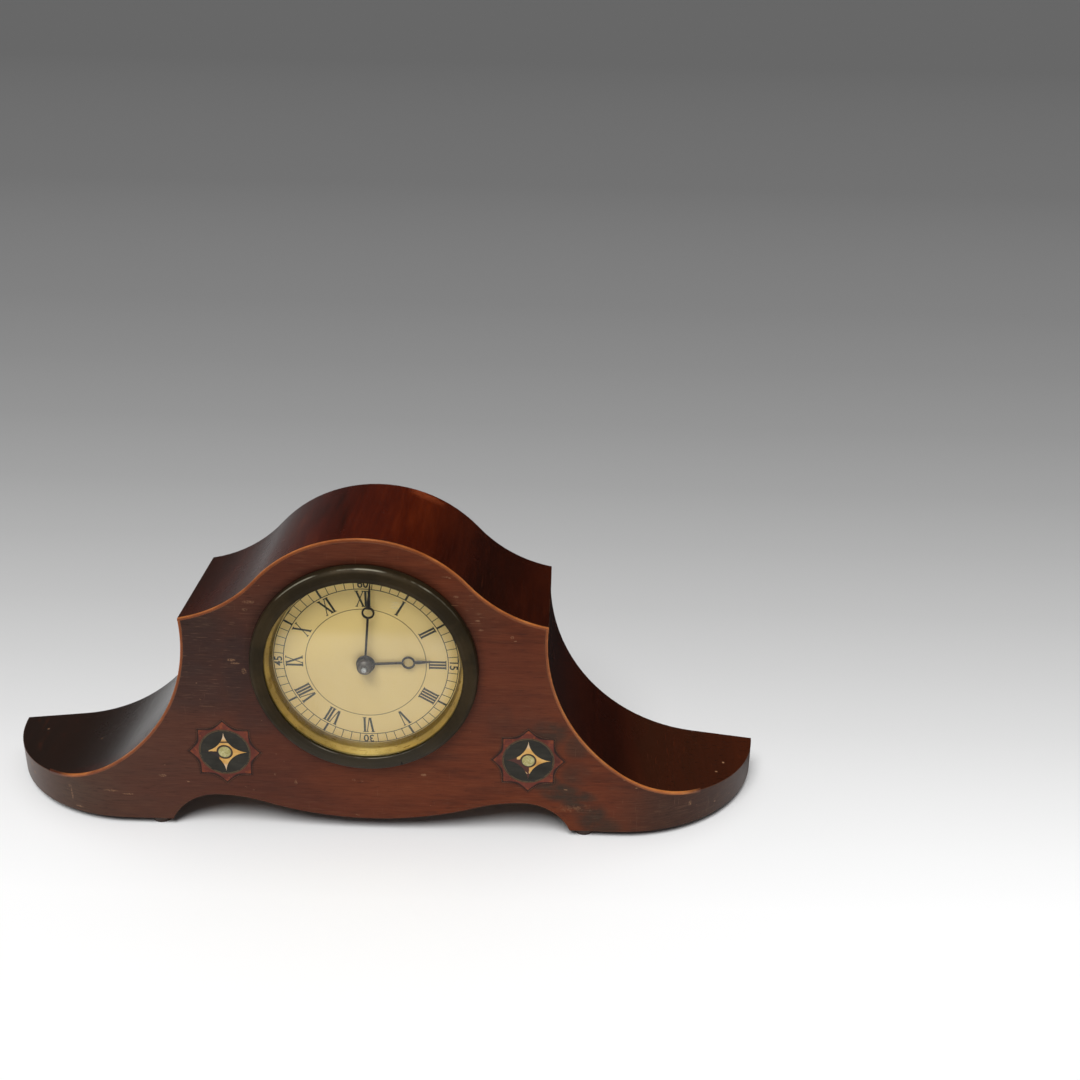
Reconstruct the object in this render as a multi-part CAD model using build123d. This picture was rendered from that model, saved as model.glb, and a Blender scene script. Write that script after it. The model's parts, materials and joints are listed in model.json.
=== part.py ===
from build123d import *
import os
from math import atan2, cos, degrees, hypot, radians, sin, sqrt, tan

# Tambour mantel clock with an inlaid case and a spring-driven, back-wound lever movement.
# Millimetres, +Z up. The dial faces -Y and the origin lies under the middle of the whole clock.
# Depths are measured backwards from the flat front of the case.

# Case outline
case_depth = 78.0
half_width = 226.0
nose_start = 141.6
nose_fall = 6.7
shoulder_x = 100.0
shoulder_drop = 49.5
crown_top = 184.0
crown_radius = 77.0
crown_sweep_radius = 76.5
cove_low_z = 23.8
cove_rise = 9.2
foot_height = 3.9
apron_belly_z = 8.2
arch_peak_x = 87.0
arch_peak_z = 21.7
arch_inner_radius = 87.0
arch_outer_radius = 30.0

# Case boards
front_thick = 8.0
back_thick = 6.0
wrap_thick = 7.0
base_thick = 5.0
base_above_arch = 1.3
corner_block_width = 15.0
corner_block_depth = 22.0
foot_x = 122.6
foot_inset = 7.0
foot_radius = 6.5
foot_sole_radius = 5.6

# Inlay
string_width = 1.4
inlay_depth = 1.0
inlay_gap = 0.05
patera_spread = 85.5
patera_shift = 4.5
patera_z = 50.5
surround_points = 8
surround_tip = 20.8
surround_valley = 16.9
ground_radius = 14.4
star_points = 4
star_tip = 12.6
star_valley = 5.6
boss_radius = 4.0

# Dial, glass and bezel
bezel_radius = 62.4
bezel_proud = 6.0
bezel_edge = 2.6
bezel_round = 3.2
bezel_bevel = 2.6
bezel_bevel_drop = 0.8
bezel_sight_radius = 54.2
bezel_lip = 1.4
bezel_spigot_depth = 4.0
aperture_radius = 57.2
glass_thick = 1.8
glass_bevel = 1.6
glass_rise = 0.6
glass_radius = 55.4
sight_radius = 51.3
dial_face_depth = 6.0
dial_thick = 0.8
dial_radius = 54.8
dial_hole_radius = 4.2
pan_thick = 1.2
pan_radius = 60.0

# Fits
run_gap = 0.05
seat_gap = 0.02
clear_gap = 0.3

# Movement frame
front_plate_depth = 16.0
plate_thick = 2.0
plate_half_width = 38.0
plate_top = 41.0
plate_bottom = 57.0
plate_corner = 9.0
pillar_radius = 3.0
pillar_inset = 9.0
pillar_tenon_radius = 1.8
dial_foot_radius = 2.5

# Wheel train
wheel_thick = 1.2
wheel_air = 0.8
barrel_air = 1.4
plate_air = 1.2
third_wheel_gap = 6.0
fourth_wheel_lead = 1.6
pinion_length = 2.6
arbor_radius = 1.0
pivot_radius = 0.6
great_teeth = 72
second_pinion_leaves = 9
great_module = 0.7
second_teeth = 54
centre_pinion_leaves = 9
second_module = 0.6
centre_teeth = 64
third_pinion_leaves = 8
centre_module = 0.5
third_teeth = 60
fourth_pinion_leaves = 8
third_module = 0.45
fourth_teeth = 64
escape_pinion_leaves = 8
fourth_module = 0.4
cannon_leaves = 12
minute_teeth = 36
minute_module = 0.6
minute_pinion_leaves = 10
hour_teeth = 40
barrel_drop = 29.5
third_direction = 140.0
fourth_direction = 60.0
escape_direction = -10.0
minute_post_direction = 205.0
tooth_share = 0.40
tooth_lean = 0.10
leaf_share = 0.32
leaf_lean = 0.05
addendum = 0.85
dedendum = 1.25
spoke_width = 2.0
rim_width = 1.6
hub_margin = 1.6

# Barrel and winding work
great_wheel_thick = 1.8
barrel_radius = 22.0
barrel_length = 13.0
barrel_wall = 1.2
barrel_arbor_radius = 2.5
barrel_arbor_hub = 4.6
barrel_front_pivot = 1.6
spring_inner = 6.2
spring_pitch = 1.9
spring_half_turns = 14
spring_strip = 0.8
ratchet_teeth = 24
ratchet_radius = 10.5
ratchet_tooth = 1.4
ratchet_undercut = 0.12
ratchet_thick = 1.8
click_direction = 125.0
click_lead = 30.0
click_reach = 4.6
click_radius = 2.4
click_nose = 0.6
stud_radius = 1.2
stud_head_radius = 1.8
stud_head_thick = 0.8
winding_square = 3.4
key_gap = 8.0
key_length = 17.0
key_hub_radius = 3.6
key_span = 26.0
key_wing_height = 11.0
key_wing_thick = 2.4

# Escapement and balance
escape_tip = 7.0
escape_root = 4.7
escape_teeth = 15
escape_land = 0.10
escape_back = 0.45
escape_gullet = 0.85
escape_gap = 10.0
pallet_distance = 8.6
pallet_direction = -30.0
pallet_pin_radius = 0.35
pallet_tip_radius = 0.77
pallet_hub_radius = 1.6
pallet_pin_circle = 7.9
pallet_half_span = 30.0
lever_thick = 0.9
lever_length = 10.2
lever_root = 1.2
fork_notch_radius = 0.56
balance_distance = 13.5
balance_direction = 20.0
balance_radius = 11.0
balance_rim = 1.6
balance_bar = 1.8
balance_gap = 4.0
balance_thick = 1.6
staff_radius = 0.8
roller_radius = 2.0
impulse_radius = 2.6
hairspring_inner = 1.9
hairspring_pitch = 1.0
hairspring_half_turns = 9
hairspring_strip = 0.4
hairspring_height = 0.8
spring_stud_radius = 0.9
cock_gap = 1.3
cock_thick = 2.0
cock_foot_distance = 16.0
cock_foot_direction = -110.0
cock_foot_radius = 3.6
cock_neck_radius = 2.5
cock_tip_radius = 1.4
regulator_length = 11.0
regulator_boss = 2.6
regulator_tip = 0.6
regulator_thick = 0.8
regulator_direction = 75.0

# Hands and setting
centre_arbor_radius = 1.5
cannon_radius = 2.2
hour_pipe_radius = 3.3
hour_hand_depth = 4.4
minute_hand_depth = 2.0
hand_thick = 0.8
hand_tip_depth = -2.2
hand_hub_radius = 4.4
hand_hub_edge = 0.8
hand_hub_drop = 1.2
minute_hand_length = 50.0
minute_ring_at = 33.0
minute_ring_radius = 3.5
minute_hand_angle = 5.0
hour_hand_length = 35.0
hour_ring_at = 23.6
hour_ring_radius = 3.75
hour_hand_angle = 86.0
hour_hand_boss = 5.2
hand_stem = 1.2
hand_ring_width = 1.0
hand_lance = 2.0
set_knob_gap = 11.0
set_knob_length = 8.0
set_knob_radius = 6.0
set_knob_neck_radius = 3.3
set_knob_neck_length = 2.8
set_knob_bevel = 0.8
cannon_gap = 2.8
cannon_teeth_length = 2.4
minute_wheel_gap = 0.5
hour_wheel_gap = 2.0

# Back door
ring_radius = 60.0
ring_flange = 6.0
ring_wall = 1.5
ring_thick = 1.5
ring_spigot = 4.0
door_inset = 4.0
door_thick = 1.2
door_rim = 1.2
hinge_gap = 3.0
hinge_knuckle_radius = 1.9
hinge_pin_radius = 0.9
hinge_half_length = 9.0
door_knuckle_half = 3.0
door_knob_inset = 9.0
door_knob_radius = 3.2
door_knob_neck = 1.6
door_knob_neck_length = 1.4
door_knob_bevel = 0.8
hinge_leaf_lap = 3.0
rear_proud = 8.0

# Derived places
front_y = (bezel_proud - rear_proud - case_depth) / 2
back_board_depth = case_depth - back_thick
dial_z = crown_top - crown_radius
middle = (0.0, dial_z)
shoulder_z = crown_top - shoulder_drop
cove_radius = shoulder_z - cove_rise - cove_low_z
cove_centre = (shoulder_x + sqrt(cove_radius**2 - cove_rise**2), shoulder_z - cove_rise)
cove_end = (
    cove_centre[0] - cove_radius * sin(radians(nose_fall)),
    cove_centre[1] - cove_radius * cos(radians(nose_fall)),
)
nose_tip_z = cove_end[1] - (half_width - cove_end[0]) * tan(radians(nose_fall))
nose_radius = ((half_width - nose_start) ** 2 + case_depth**2) / (2 * case_depth)
opening_radius = ring_radius - ring_flange
door_radius = ring_radius - door_inset
hinge_x = ring_radius + hinge_gap
door_knob_x = door_radius - door_knob_inset
pan_depth = dial_face_depth + dial_thick
glass_depth = bezel_lip - bezel_proud


def away(origin, direction, distance):
    angle = radians(direction)
    return (origin[0] + distance * cos(angle), origin[1] + distance * sin(angle))


def bearing(start, end):
    return degrees(atan2(end[1] - start[1], end[0] - start[0]))


def crossing(first, first_radius, second, second_radius, side):
    # one of the two points at given distances from two centres
    span = hypot(second[0] - first[0], second[1] - first[1])
    along = (first_radius**2 - second_radius**2 + span**2) / (2 * span)
    across = side * sqrt(first_radius**2 - along**2)
    ux = (second[0] - first[0]) / span
    uz = (second[1] - first[1]) / span
    return (first[0] + along * ux - across * uz, first[1] + along * uz + across * ux)


# Places of the arbors, seen from the front
barrel_at = (0.0, dial_z - barrel_drop)
great_reach = great_module * (great_teeth + second_pinion_leaves) / 2
second_reach = second_module * (second_teeth + centre_pinion_leaves) / 2
third_reach = centre_module * (centre_teeth + third_pinion_leaves) / 2
fourth_reach = third_module * (third_teeth + fourth_pinion_leaves) / 2
escape_reach = fourth_module * (fourth_teeth + escape_pinion_leaves) / 2
minute_reach = minute_module * (cannon_leaves + minute_teeth) / 2
hour_module = 2 * minute_reach / (minute_pinion_leaves + hour_teeth)
second_at = crossing(barrel_at, great_reach, middle, second_reach, -1)
third_at = away(middle, third_direction, third_reach)
fourth_at = away(third_at, fourth_direction, fourth_reach)
escape_at = away(fourth_at, escape_direction, escape_reach)
pallet_at = away(escape_at, pallet_direction, pallet_distance)
balance_at = away(pallet_at, balance_direction, balance_distance)
minute_post_at = away(middle, minute_post_direction, minute_reach)
cock_foot_at = away(balance_at, cock_foot_direction, cock_foot_distance)
click_at = away(barrel_at, click_direction, ratchet_radius + click_reach)

# Depths of the wheels between the plates
train_front = front_plate_depth + plate_thick
great_wheel_depth = train_front + barrel_air
barrel_back = great_wheel_depth + great_wheel_thick + barrel_length
second_wheel_depth = barrel_back + barrel_air
centre_wheel_depth = second_wheel_depth + wheel_thick + wheel_air
back_plate_depth = centre_wheel_depth + wheel_thick + plate_air
rear_face = back_plate_depth + plate_thick
third_wheel_depth = train_front + third_wheel_gap
fourth_wheel_depth = second_wheel_depth - fourth_wheel_lead
escape_depth = train_front + escape_gap
pinion_overhang = (pinion_length - wheel_thick) / 2

# Depths behind the back plate
key_start = rear_face + key_gap
key_end = key_start + key_length
set_knob_start = rear_face + set_knob_gap
balance_depth = rear_face + balance_gap
collet_depth = balance_depth + balance_thick
coil_depth = collet_depth + clear_gap
cock_depth = coil_depth + hairspring_height + cock_gap

# Depths of the motion work in front of the front plate
cannon_depth = front_plate_depth - cannon_gap
minute_wheel_depth = cannon_depth + minute_wheel_gap
hour_wheel_depth = cannon_depth - hour_wheel_gap


def at_depth(depth):
    # drawing plane that faces the front, x to the right and y up
    return Plane(origin=(0, front_y + depth, 0), x_dir=(1, 0, 0), z_dir=(0, -1, 0))


def slab(sketch, near, far):
    return extrude(at_depth(near) * sketch, amount=near - far)


def disc(place, radius, near, far):
    return slab(Pos(*place) * Circle(radius), near, far)


def turned(place, *profile):
    # a turned piece, drawn as radius and depth, on an axis through the front
    face = make_face(Polyline(*profile, close=True))
    return Pos(place[0], front_y, place[1]) * revolve(face, Axis.Y)


def bend(centre, radius, start, end):
    mx = start[0] + end[0] - 2 * centre[0]
    mz = start[1] + end[1] - 2 * centre[1]
    share = radius / hypot(mx, mz)
    return ThreePointArc(start, (centre[0] + mx * share, centre[1] + mz * share), end)


def on_arc(centre, radius, x, side):
    return (x, centre[1] + side * sqrt(radius**2 - (x - centre[0]) ** 2))


def flipped(point):
    return (-point[0], point[1])


# Crown line: a dome that turns into a reverse sweep and ends at the sharp shoulders
sweep_centre = crossing(
    middle,
    crown_radius + crown_sweep_radius,
    (shoulder_x, shoulder_z),
    crown_sweep_radius,
    1,
)


def crown_edges(inside):
    dome = crown_radius - inside
    sweep = crown_sweep_radius + inside
    turn = away(middle, bearing(middle, sweep_centre), dome)
    end = on_arc(sweep_centre, sweep, shoulder_x, -1)
    edges = [bend(flipped(sweep_centre), sweep, flipped(end), flipped(turn))]
    edges.append(bend(middle, dome, flipped(turn), turn))
    edges.append(bend(sweep_centre, sweep, turn, end))
    return edges, end


def case_outline():
    # whole front view of the case, with the arched apron along the bottom
    edges = crown_edges(0)[0]
    shoulder = (shoulder_x, shoulder_z)
    tip = (half_width, nose_tip_z)
    heel = (half_width, foot_height)
    outer_centre = (arch_peak_x, arch_peak_z - arch_outer_radius)
    inner_centre = (arch_peak_x, arch_peak_z - arch_inner_radius)
    fall = inner_centre[1] - apron_belly_z
    belly_radius = (arch_inner_radius**2 - arch_peak_x**2 - fall**2) / (-2 * (fall + arch_inner_radius))
    belly_centre = (0.0, apron_belly_z + belly_radius)
    spring = (arch_peak_x + sqrt(arch_outer_radius**2 - (foot_height - outer_centre[1]) ** 2), foot_height)
    peak = (arch_peak_x, arch_peak_z)
    turn = away(inner_centre, bearing(inner_centre, belly_centre), arch_inner_radius)
    for side in (1, -1):
        place = flipped if side < 0 else tuple
        edges.append(bend(place(cove_centre), cove_radius, place(shoulder), place(cove_end)))
        edges.append(Line(place(cove_end), place(tip)))
        edges.append(Line(place(tip), place(heel)))
        edges.append(Line(place(heel), place(spring)))
        edges.append(bend(place(outer_centre), arch_outer_radius, place(spring), place(peak)))
        edges.append(bend(place(inner_centre), arch_inner_radius, place(peak), place(turn)))
    edges.append(bend(belly_centre, belly_radius, turn, flipped(turn)))
    return make_face(edges)


def cove_band(thick, near_x, far_x):
    # strip under the cove on the right, from one x to another
    outer = [on_arc(cove_centre, cove_radius, x, -1) for x in (near_x, far_x)]
    inner = [on_arc(cove_centre, cove_radius + thick, x, -1) for x in (near_x, far_x)]
    edges = [bend(cove_centre, cove_radius, *outer), Line(outer[1], inner[1])]
    edges += [bend(cove_centre, cove_radius + thick, inner[1], inner[0]), Line(inner[0], outer[0])]
    return make_face(edges)


def cove_wrap(thick):
    # strip under the cove from the shoulder down to the nose
    shoulder = (shoulder_x, shoulder_z)
    low = on_arc(cove_centre, cove_radius, nose_start, -1)
    low_in = on_arc(cove_centre, cove_radius + thick, nose_start, -1)
    high_in = (cove_centre[0] - sqrt((cove_radius + thick) ** 2 - cove_rise**2), shoulder_z)
    edges = [bend(cove_centre, cove_radius, shoulder, low), Line(low, low_in)]
    edges += [bend(cove_centre, cove_radius + thick, low_in, high_in), Line(high_in, shoulder)]
    return make_face(edges) - crown_band(thick)


def crown_band(thick):
    outer, end = crown_edges(0)
    inner, inner_end = crown_edges(thick)
    edges = outer + inner + [Line(end, inner_end), Line(flipped(end), flipped(inner_end))]
    return make_face(edges)


def plan_block(inside):
    # plan of the case, straight in front and swept back at the noses
    radius = nose_radius - inside
    centre = (nose_start, nose_radius)
    side = (nose_start + sqrt(radius**2 - (nose_radius - case_depth) ** 2), case_depth)
    edges = [Line((-nose_start, inside), (nose_start, inside))]
    edges.append(bend(centre, radius, (nose_start, inside), side))
    edges.append(Line(side, flipped(side)))
    edges.append(bend(flipped(centre), radius, flipped(side), (-nose_start, inside)))
    return Pos(0, front_y, 0) * extrude(make_face(edges), amount=crown_top)


def concave_star(points, tip, valley):
    # star whose sides are hollow arcs from tip to tip
    step = 360 / points
    edges = []
    for i in range(points):
        first = away((0, 0), i * step, tip)
        dip = away((0, 0), (i + 0.5) * step, valley)
        edges.append(ThreePointArc(first, dip, away((0, 0), (i + 1) * step, tip)))
    return make_face(edges)


patera_places = [(side * patera_spread + patera_shift, patera_z) for side in (-1, 1)]


def inlaid(sketch):
    return [slab(Pos(*place) * sketch, 0, inlay_depth) for place in patera_places]


def group(pieces):
    return Compound(children=list(pieces))


def stringing():
    # boxwood line let into the front edge of the crown, and of each cove round to the nose
    crown = slab(crown_band(string_width), 0, string_width)
    flat = slab(cove_wrap(string_width), 0, string_width)
    front = plan_block(0) - plan_block(string_width)
    curve = slab(cove_band(string_width, nose_start, cove_end[0]), 0, back_board_depth) & front
    right = flat + curve
    return crown, mirror(right, Plane.YZ), right


def case_pieces():
    outline = case_outline()
    crown_line, left_line, right_line = stringing()
    plan = plan_block(0)
    plain = outline & Pos(0, crown_top / 2) * Rectangle(2 * nose_start, crown_top)
    front = slab(plain - Pos(*middle) * Circle(aperture_radius), 0, front_thick)
    seat = concave_star(surround_points, surround_tip + inlay_gap, surround_valley + inlay_gap)
    for pocket in inlaid(seat):
        front -= pocket
    front = front - crown_line - left_line - right_line

    base_z = arch_peak_z + base_above_arch
    level = Pos(0, (apron_belly_z + base_z) / 2) * Rectangle(2 * foot_x, base_z - apron_belly_z)
    back_face = outline + level - Pos(*middle) * Circle(opening_radius)
    back = slab(back_face, back_board_depth, case_depth) & plan
    crown = slab(crown_band(wrap_thick), front_thick, back_board_depth)
    cove = slab(cove_wrap(wrap_thick), front_thick, back_board_depth)
    nose_length = half_width - nose_start
    beyond = Pos(nose_start + nose_length / 2, crown_top / 2) * Rectangle(nose_length, crown_top)
    nose = slab(outline & beyond, 0, back_board_depth) & plan
    nose -= right_line

    base_face = Pos(0, base_z + base_thick / 2) * Rectangle(2 * nose_start, base_thick)
    base = slab(base_face, front_thick, back_board_depth)
    block_face = Rectangle(corner_block_width, base_z - foot_height)
    blocks = []
    feet = []
    for side in (-1, 1):
        block_at = (side * (nose_start - corner_block_width / 2), (base_z + foot_height) / 2)
        for near in (front_thick, back_board_depth - corner_block_depth):
            blocks.append(slab(Pos(*block_at) * block_face, near, near + corner_block_depth))
        for depth in (foot_inset, case_depth - foot_inset):
            foot = Cone(foot_sole_radius, foot_radius, foot_height)
            feet.append(Pos(side * foot_x, front_y + depth, foot_height / 2) * foot)
    return {
        "front_board": front,
        "back_board": back,
        "crown_board": crown,
        "cove_board_left": mirror(cove, Plane.YZ),
        "cove_board_right": cove,
        "nose_block_left": mirror(nose, Plane.YZ),
        "nose_block_right": nose,
        "base_board": base,
        "corner_blocks": group(blocks),
        "feet": group(feet),
        "stringing_crown": crown_line,
        "stringing_left": left_line,
        "stringing_right": right_line,
    }


def patera_pieces():
    surround = concave_star(surround_points, surround_tip, surround_valley)
    surround -= Circle(ground_radius + inlay_gap)
    ground = Circle(ground_radius)
    ground -= concave_star(star_points, star_tip + inlay_gap, star_valley + inlay_gap)
    star = concave_star(star_points, star_tip, star_valley) - Circle(boss_radius + inlay_gap)
    return {
        "patera_surrounds": group(inlaid(surround)),
        "patera_grounds": group(inlaid(ground)),
        "patera_stars": group(inlaid(star)),
        "patera_bosses": group(inlaid(Circle(boss_radius))),
    }


def bezel():
    # cast ring with a rounded outer edge, a lip over the glass and a spigot in the aperture
    bore = glass_radius + seat_gap
    spigot = aperture_radius - run_gap
    shoulder = (bezel_radius, -bezel_edge)
    crest = (bezel_radius - bezel_round, -bezel_proud)
    brink = (bezel_sight_radius + bezel_bevel, -bezel_proud)
    lip = (bezel_sight_radius, bezel_bevel_drop - bezel_proud)
    edges = [
        Line((spigot, 0), (bezel_radius, 0)),
        Line((bezel_radius, 0), shoulder),
        TangentArc(shoulder, crest, tangent=(0, -1)),
        Line(crest, brink),
        Line(brink, lip),
        Line(lip, (bezel_sight_radius, glass_depth)),
        Line((bezel_sight_radius, glass_depth), (bore, glass_depth)),
        Line((bore, glass_depth), (bore, bezel_spigot_depth)),
        Line((bore, bezel_spigot_depth), (spigot, bezel_spigot_depth)),
        Line((spigot, bezel_spigot_depth), (spigot, 0)),
    ]
    return Pos(0, front_y, dial_z) * revolve(make_face(edges), Axis.Y)


def dial_pieces():
    glass_back = glass_depth + glass_thick
    glass = turned(
        middle,
        (0, glass_depth - glass_rise),
        (bezel_sight_radius - glass_bevel, glass_depth - glass_rise),
        (bezel_sight_radius - seat_gap, glass_depth),
        (glass_radius, glass_depth),
        (glass_radius, glass_back),
        (0, glass_back),
    )
    sight = turned(
        middle,
        (bezel_sight_radius, glass_back),
        (glass_radius, glass_back),
        (glass_radius, dial_face_depth),
        (sight_radius, dial_face_depth),
    )
    dial = slab(
        Pos(*middle) * (Circle(dial_radius) - Circle(dial_hole_radius)),
        dial_face_depth,
        pan_depth,
    )
    seat = front_thick
    pan = turned(
        middle,
        (dial_hole_radius, pan_depth),
        (dial_radius, pan_depth),
        (dial_radius, seat),
        (pan_radius, seat),
        (pan_radius, seat + pan_thick),
        (dial_radius - pan_thick, seat + pan_thick),
        (dial_radius - pan_thick, pan_depth + pan_thick),
        (dial_hole_radius, pan_depth + pan_thick),
    )
    feet = []
    for place in pillar_places:
        feet.append(disc(place, dial_foot_radius, pan_back_at(place), front_plate_depth))
    return {
        "bezel": bezel(),
        "dial_glass": glass,
        "sight_ring": sight,
        "dial": dial,
        "dial_pan": pan,
        "dial_feet": group(feet),
    }


def pan_back_at(place):
    reach = hypot(place[0] - middle[0], place[1] - middle[1])
    return (front_thick if reach > dial_radius else pan_depth) + pan_thick


pillar_places = []
for pillar_side in (-1, 1):
    for pillar_z in (dial_z + plate_top - pillar_inset, dial_z - plate_bottom + pillar_inset):
        pillar_places.append((pillar_side * (plate_half_width - pillar_inset), pillar_z))


def toothed(teeth, module, share, lean, phase):
    # toothed outline with straight flanks, one tooth centred on the phase angle
    pitch_radius = teeth * module / 2
    tip = pitch_radius + addendum * module
    root = pitch_radius - dedendum * module
    step = 360 / teeth
    points = []
    for i in range(teeth):
        angle = phase + i * step
        points.append(away((0, 0), angle - step * (share / 2 + lean), root))
        points.append(away((0, 0), angle - step * (share / 2 - lean), tip))
        points.append(away((0, 0), angle + step * (share / 2 - lean), tip))
        points.append(away((0, 0), angle + step * (share / 2 + lean), root))
    return make_face(Polyline(*points, close=True))


def pinion_phase(wheel_at, wheel_teeth, phase, pinion_at, leaves):
    # angle that puts a gap of the pinion opposite a tooth of the wheel
    line = bearing(wheel_at, pinion_at)
    return line + 180 - wheel_teeth / leaves * (phase - line) - 180 / leaves


def spoked(teeth, module, phase, bore):
    # wheel with a toothed rim, a hub and four crossings
    rim = teeth * module / 2 - dedendum * module - rim_width
    hub = bore + hub_margin
    window = Circle(rim) - Circle(hub)
    window = window - Rectangle(4 * rim, spoke_width) - Rectangle(spoke_width, 4 * rim)
    return toothed(teeth, module, tooth_share, tooth_lean, phase) - window - Circle(bore)


def wheel(place, teeth, module, phase, bore, depth):
    return slab(Pos(*place) * spoked(teeth, module, phase, bore), depth, depth + wheel_thick)


def leaves(place, count, module, phase, near, far):
    return slab(Pos(*place) * toothed(count, module, leaf_share, leaf_lean, phase), near, far)


def pivoted(place, radius):
    # arbor between the plates with a thinner pivot in each plate
    body = disc(place, radius, train_front + clear_gap, back_plate_depth - clear_gap)
    return body + disc(place, pivot_radius, front_plate_depth, rear_face)


# Angles of the wheels that bring every pair into mesh
great_phase = 0.0
second_leaf_phase = pinion_phase(barrel_at, great_teeth, great_phase, second_at, second_pinion_leaves)
second_phase = 0.0
centre_leaf_phase = pinion_phase(second_at, second_teeth, second_phase, middle, centre_pinion_leaves)
centre_phase = 0.0
third_leaf_phase = pinion_phase(middle, centre_teeth, centre_phase, third_at, third_pinion_leaves)
third_phase = 0.0
fourth_leaf_phase = pinion_phase(third_at, third_teeth, third_phase, fourth_at, fourth_pinion_leaves)
fourth_phase = 0.0
escape_leaf_phase = pinion_phase(fourth_at, fourth_teeth, fourth_phase, escape_at, escape_pinion_leaves)
minute_phase = 0.0
cannon_phase = pinion_phase(minute_post_at, minute_teeth, minute_phase, middle, cannon_leaves)
hour_phase = 0.0
minute_leaf_phase = pinion_phase(middle, hour_teeth, hour_phase, minute_post_at, minute_pinion_leaves)


def plate(bores):
    face = Pos(0, dial_z + (plate_top - plate_bottom) / 2) * RectangleRounded(
        2 * plate_half_width, plate_top + plate_bottom, plate_corner
    )
    for place, radius in bores:
        face -= Pos(*place) * Circle(radius)
    return face


def frame_pieces():
    pivots = [second_at, third_at, fourth_at, escape_at, pallet_at]
    bores = [(place, pivot_radius + run_gap) for place in pivots]
    bores += [(place, pillar_tenon_radius + seat_gap) for place in pillar_places]
    bores.append((middle, centre_arbor_radius + run_gap))
    front_bores = bores + [(barrel_at, barrel_front_pivot + run_gap)]
    front_bores.append((balance_at, staff_radius + run_gap))
    front_bores.append((minute_post_at, stud_radius + seat_gap))
    back_bores = bores + [(barrel_at, barrel_arbor_radius + run_gap)]
    back_bores.append((balance_at, roller_radius + clear_gap))
    back_bores.append((click_at, stud_radius + seat_gap))
    pillars = []
    for place in pillar_places:
        body = disc(place, pillar_radius, train_front, back_plate_depth)
        pillars.append(body + disc(place, pillar_tenon_radius, front_plate_depth, rear_face))
    return {
        "front_plate": slab(plate(front_bores), front_plate_depth, train_front),
        "back_plate": slab(plate(back_bores), back_plate_depth, rear_face),
        "plate_pillars": group(pillars),
    }


def spiral(inner, pitch, half_turns, strip):
    # flat spiral strip made of half circles on two centres
    outer_side = []
    inner_side = []
    for i in range(half_turns):
        radius = inner + i * pitch / 2
        centre = (pitch / 2 * (i % 2), 0)
        side = 1 if i % 2 == 0 else -1
        for edges, offset in ((outer_side, strip / 2), (inner_side, -strip / 2)):
            reach = radius + offset
            start = (centre[0] + side * reach, 0)
            end = (centre[0] - side * reach, 0)
            edges.append(ThreePointArc(start, (centre[0], side * reach), end))
    ends = []
    for i in (0, -1):
        ends.append(Line(outer_side[i] @ abs(i), inner_side[i] @ abs(i)))
    print("spiral strip, least gap", round(spiral_gap(inner, pitch, half_turns) - strip, 3), "mm")
    return make_face(outer_side + inner_side + ends)


def spiral_gap(inner, pitch, half_turns):
    # least distance between the middle lines of neighbouring turns, on points
    gap_steps = 12
    points = []
    for i in range(half_turns):
        radius = inner + i * pitch / 2
        for step in range(gap_steps):
            angle = 180 * (i + step / gap_steps)
            points.append((angle, away((pitch / 2 * (i % 2), 0), angle, radius)))
    gaps = []
    for angle, point in points:
        for other_angle, other in points:
            if other_angle - angle > 270:
                gaps.append(hypot(other[0] - point[0], other[1] - point[1]))
    return min(gaps)


def barrel_pieces():
    drum_start = great_wheel_depth + great_wheel_thick
    teeth = toothed(great_teeth, great_module, tooth_share, tooth_lean, great_phase)
    bore = barrel_arbor_radius + run_gap
    great = slab(Pos(*barrel_at) * (teeth - Circle(bore)), great_wheel_depth, drum_start)
    tube = Circle(barrel_radius) - Circle(barrel_radius - barrel_wall)
    drum = great + slab(Pos(*barrel_at) * tube, drum_start, barrel_back)
    cap_face = Circle(barrel_radius - barrel_wall - seat_gap) - Circle(bore)
    cap = slab(Pos(*barrel_at) * cap_face, barrel_back - barrel_wall, barrel_back)
    coil = spiral(spring_inner, spring_pitch, spring_half_turns, spring_strip)
    spring = slab(Pos(*barrel_at) * coil, drum_start + clear_gap, barrel_back - barrel_wall - clear_gap)
    arbor = disc(barrel_at, barrel_front_pivot, front_plate_depth, train_front + clear_gap)
    arbor += disc(barrel_at, barrel_arbor_radius, train_front + clear_gap, rear_face + clear_gap)
    hub_ends = (drum_start + clear_gap, barrel_back - barrel_wall - clear_gap)
    arbor += disc(barrel_at, barrel_arbor_hub, *hub_ends)
    square = Pos(*barrel_at) * Rectangle(winding_square, winding_square)
    arbor += slab(square, rear_face + clear_gap, key_end - 2 * clear_gap)
    return {"barrel": drum, "barrel_cap": cap, "mainspring": spring, "barrel_arbor": arbor}


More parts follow.
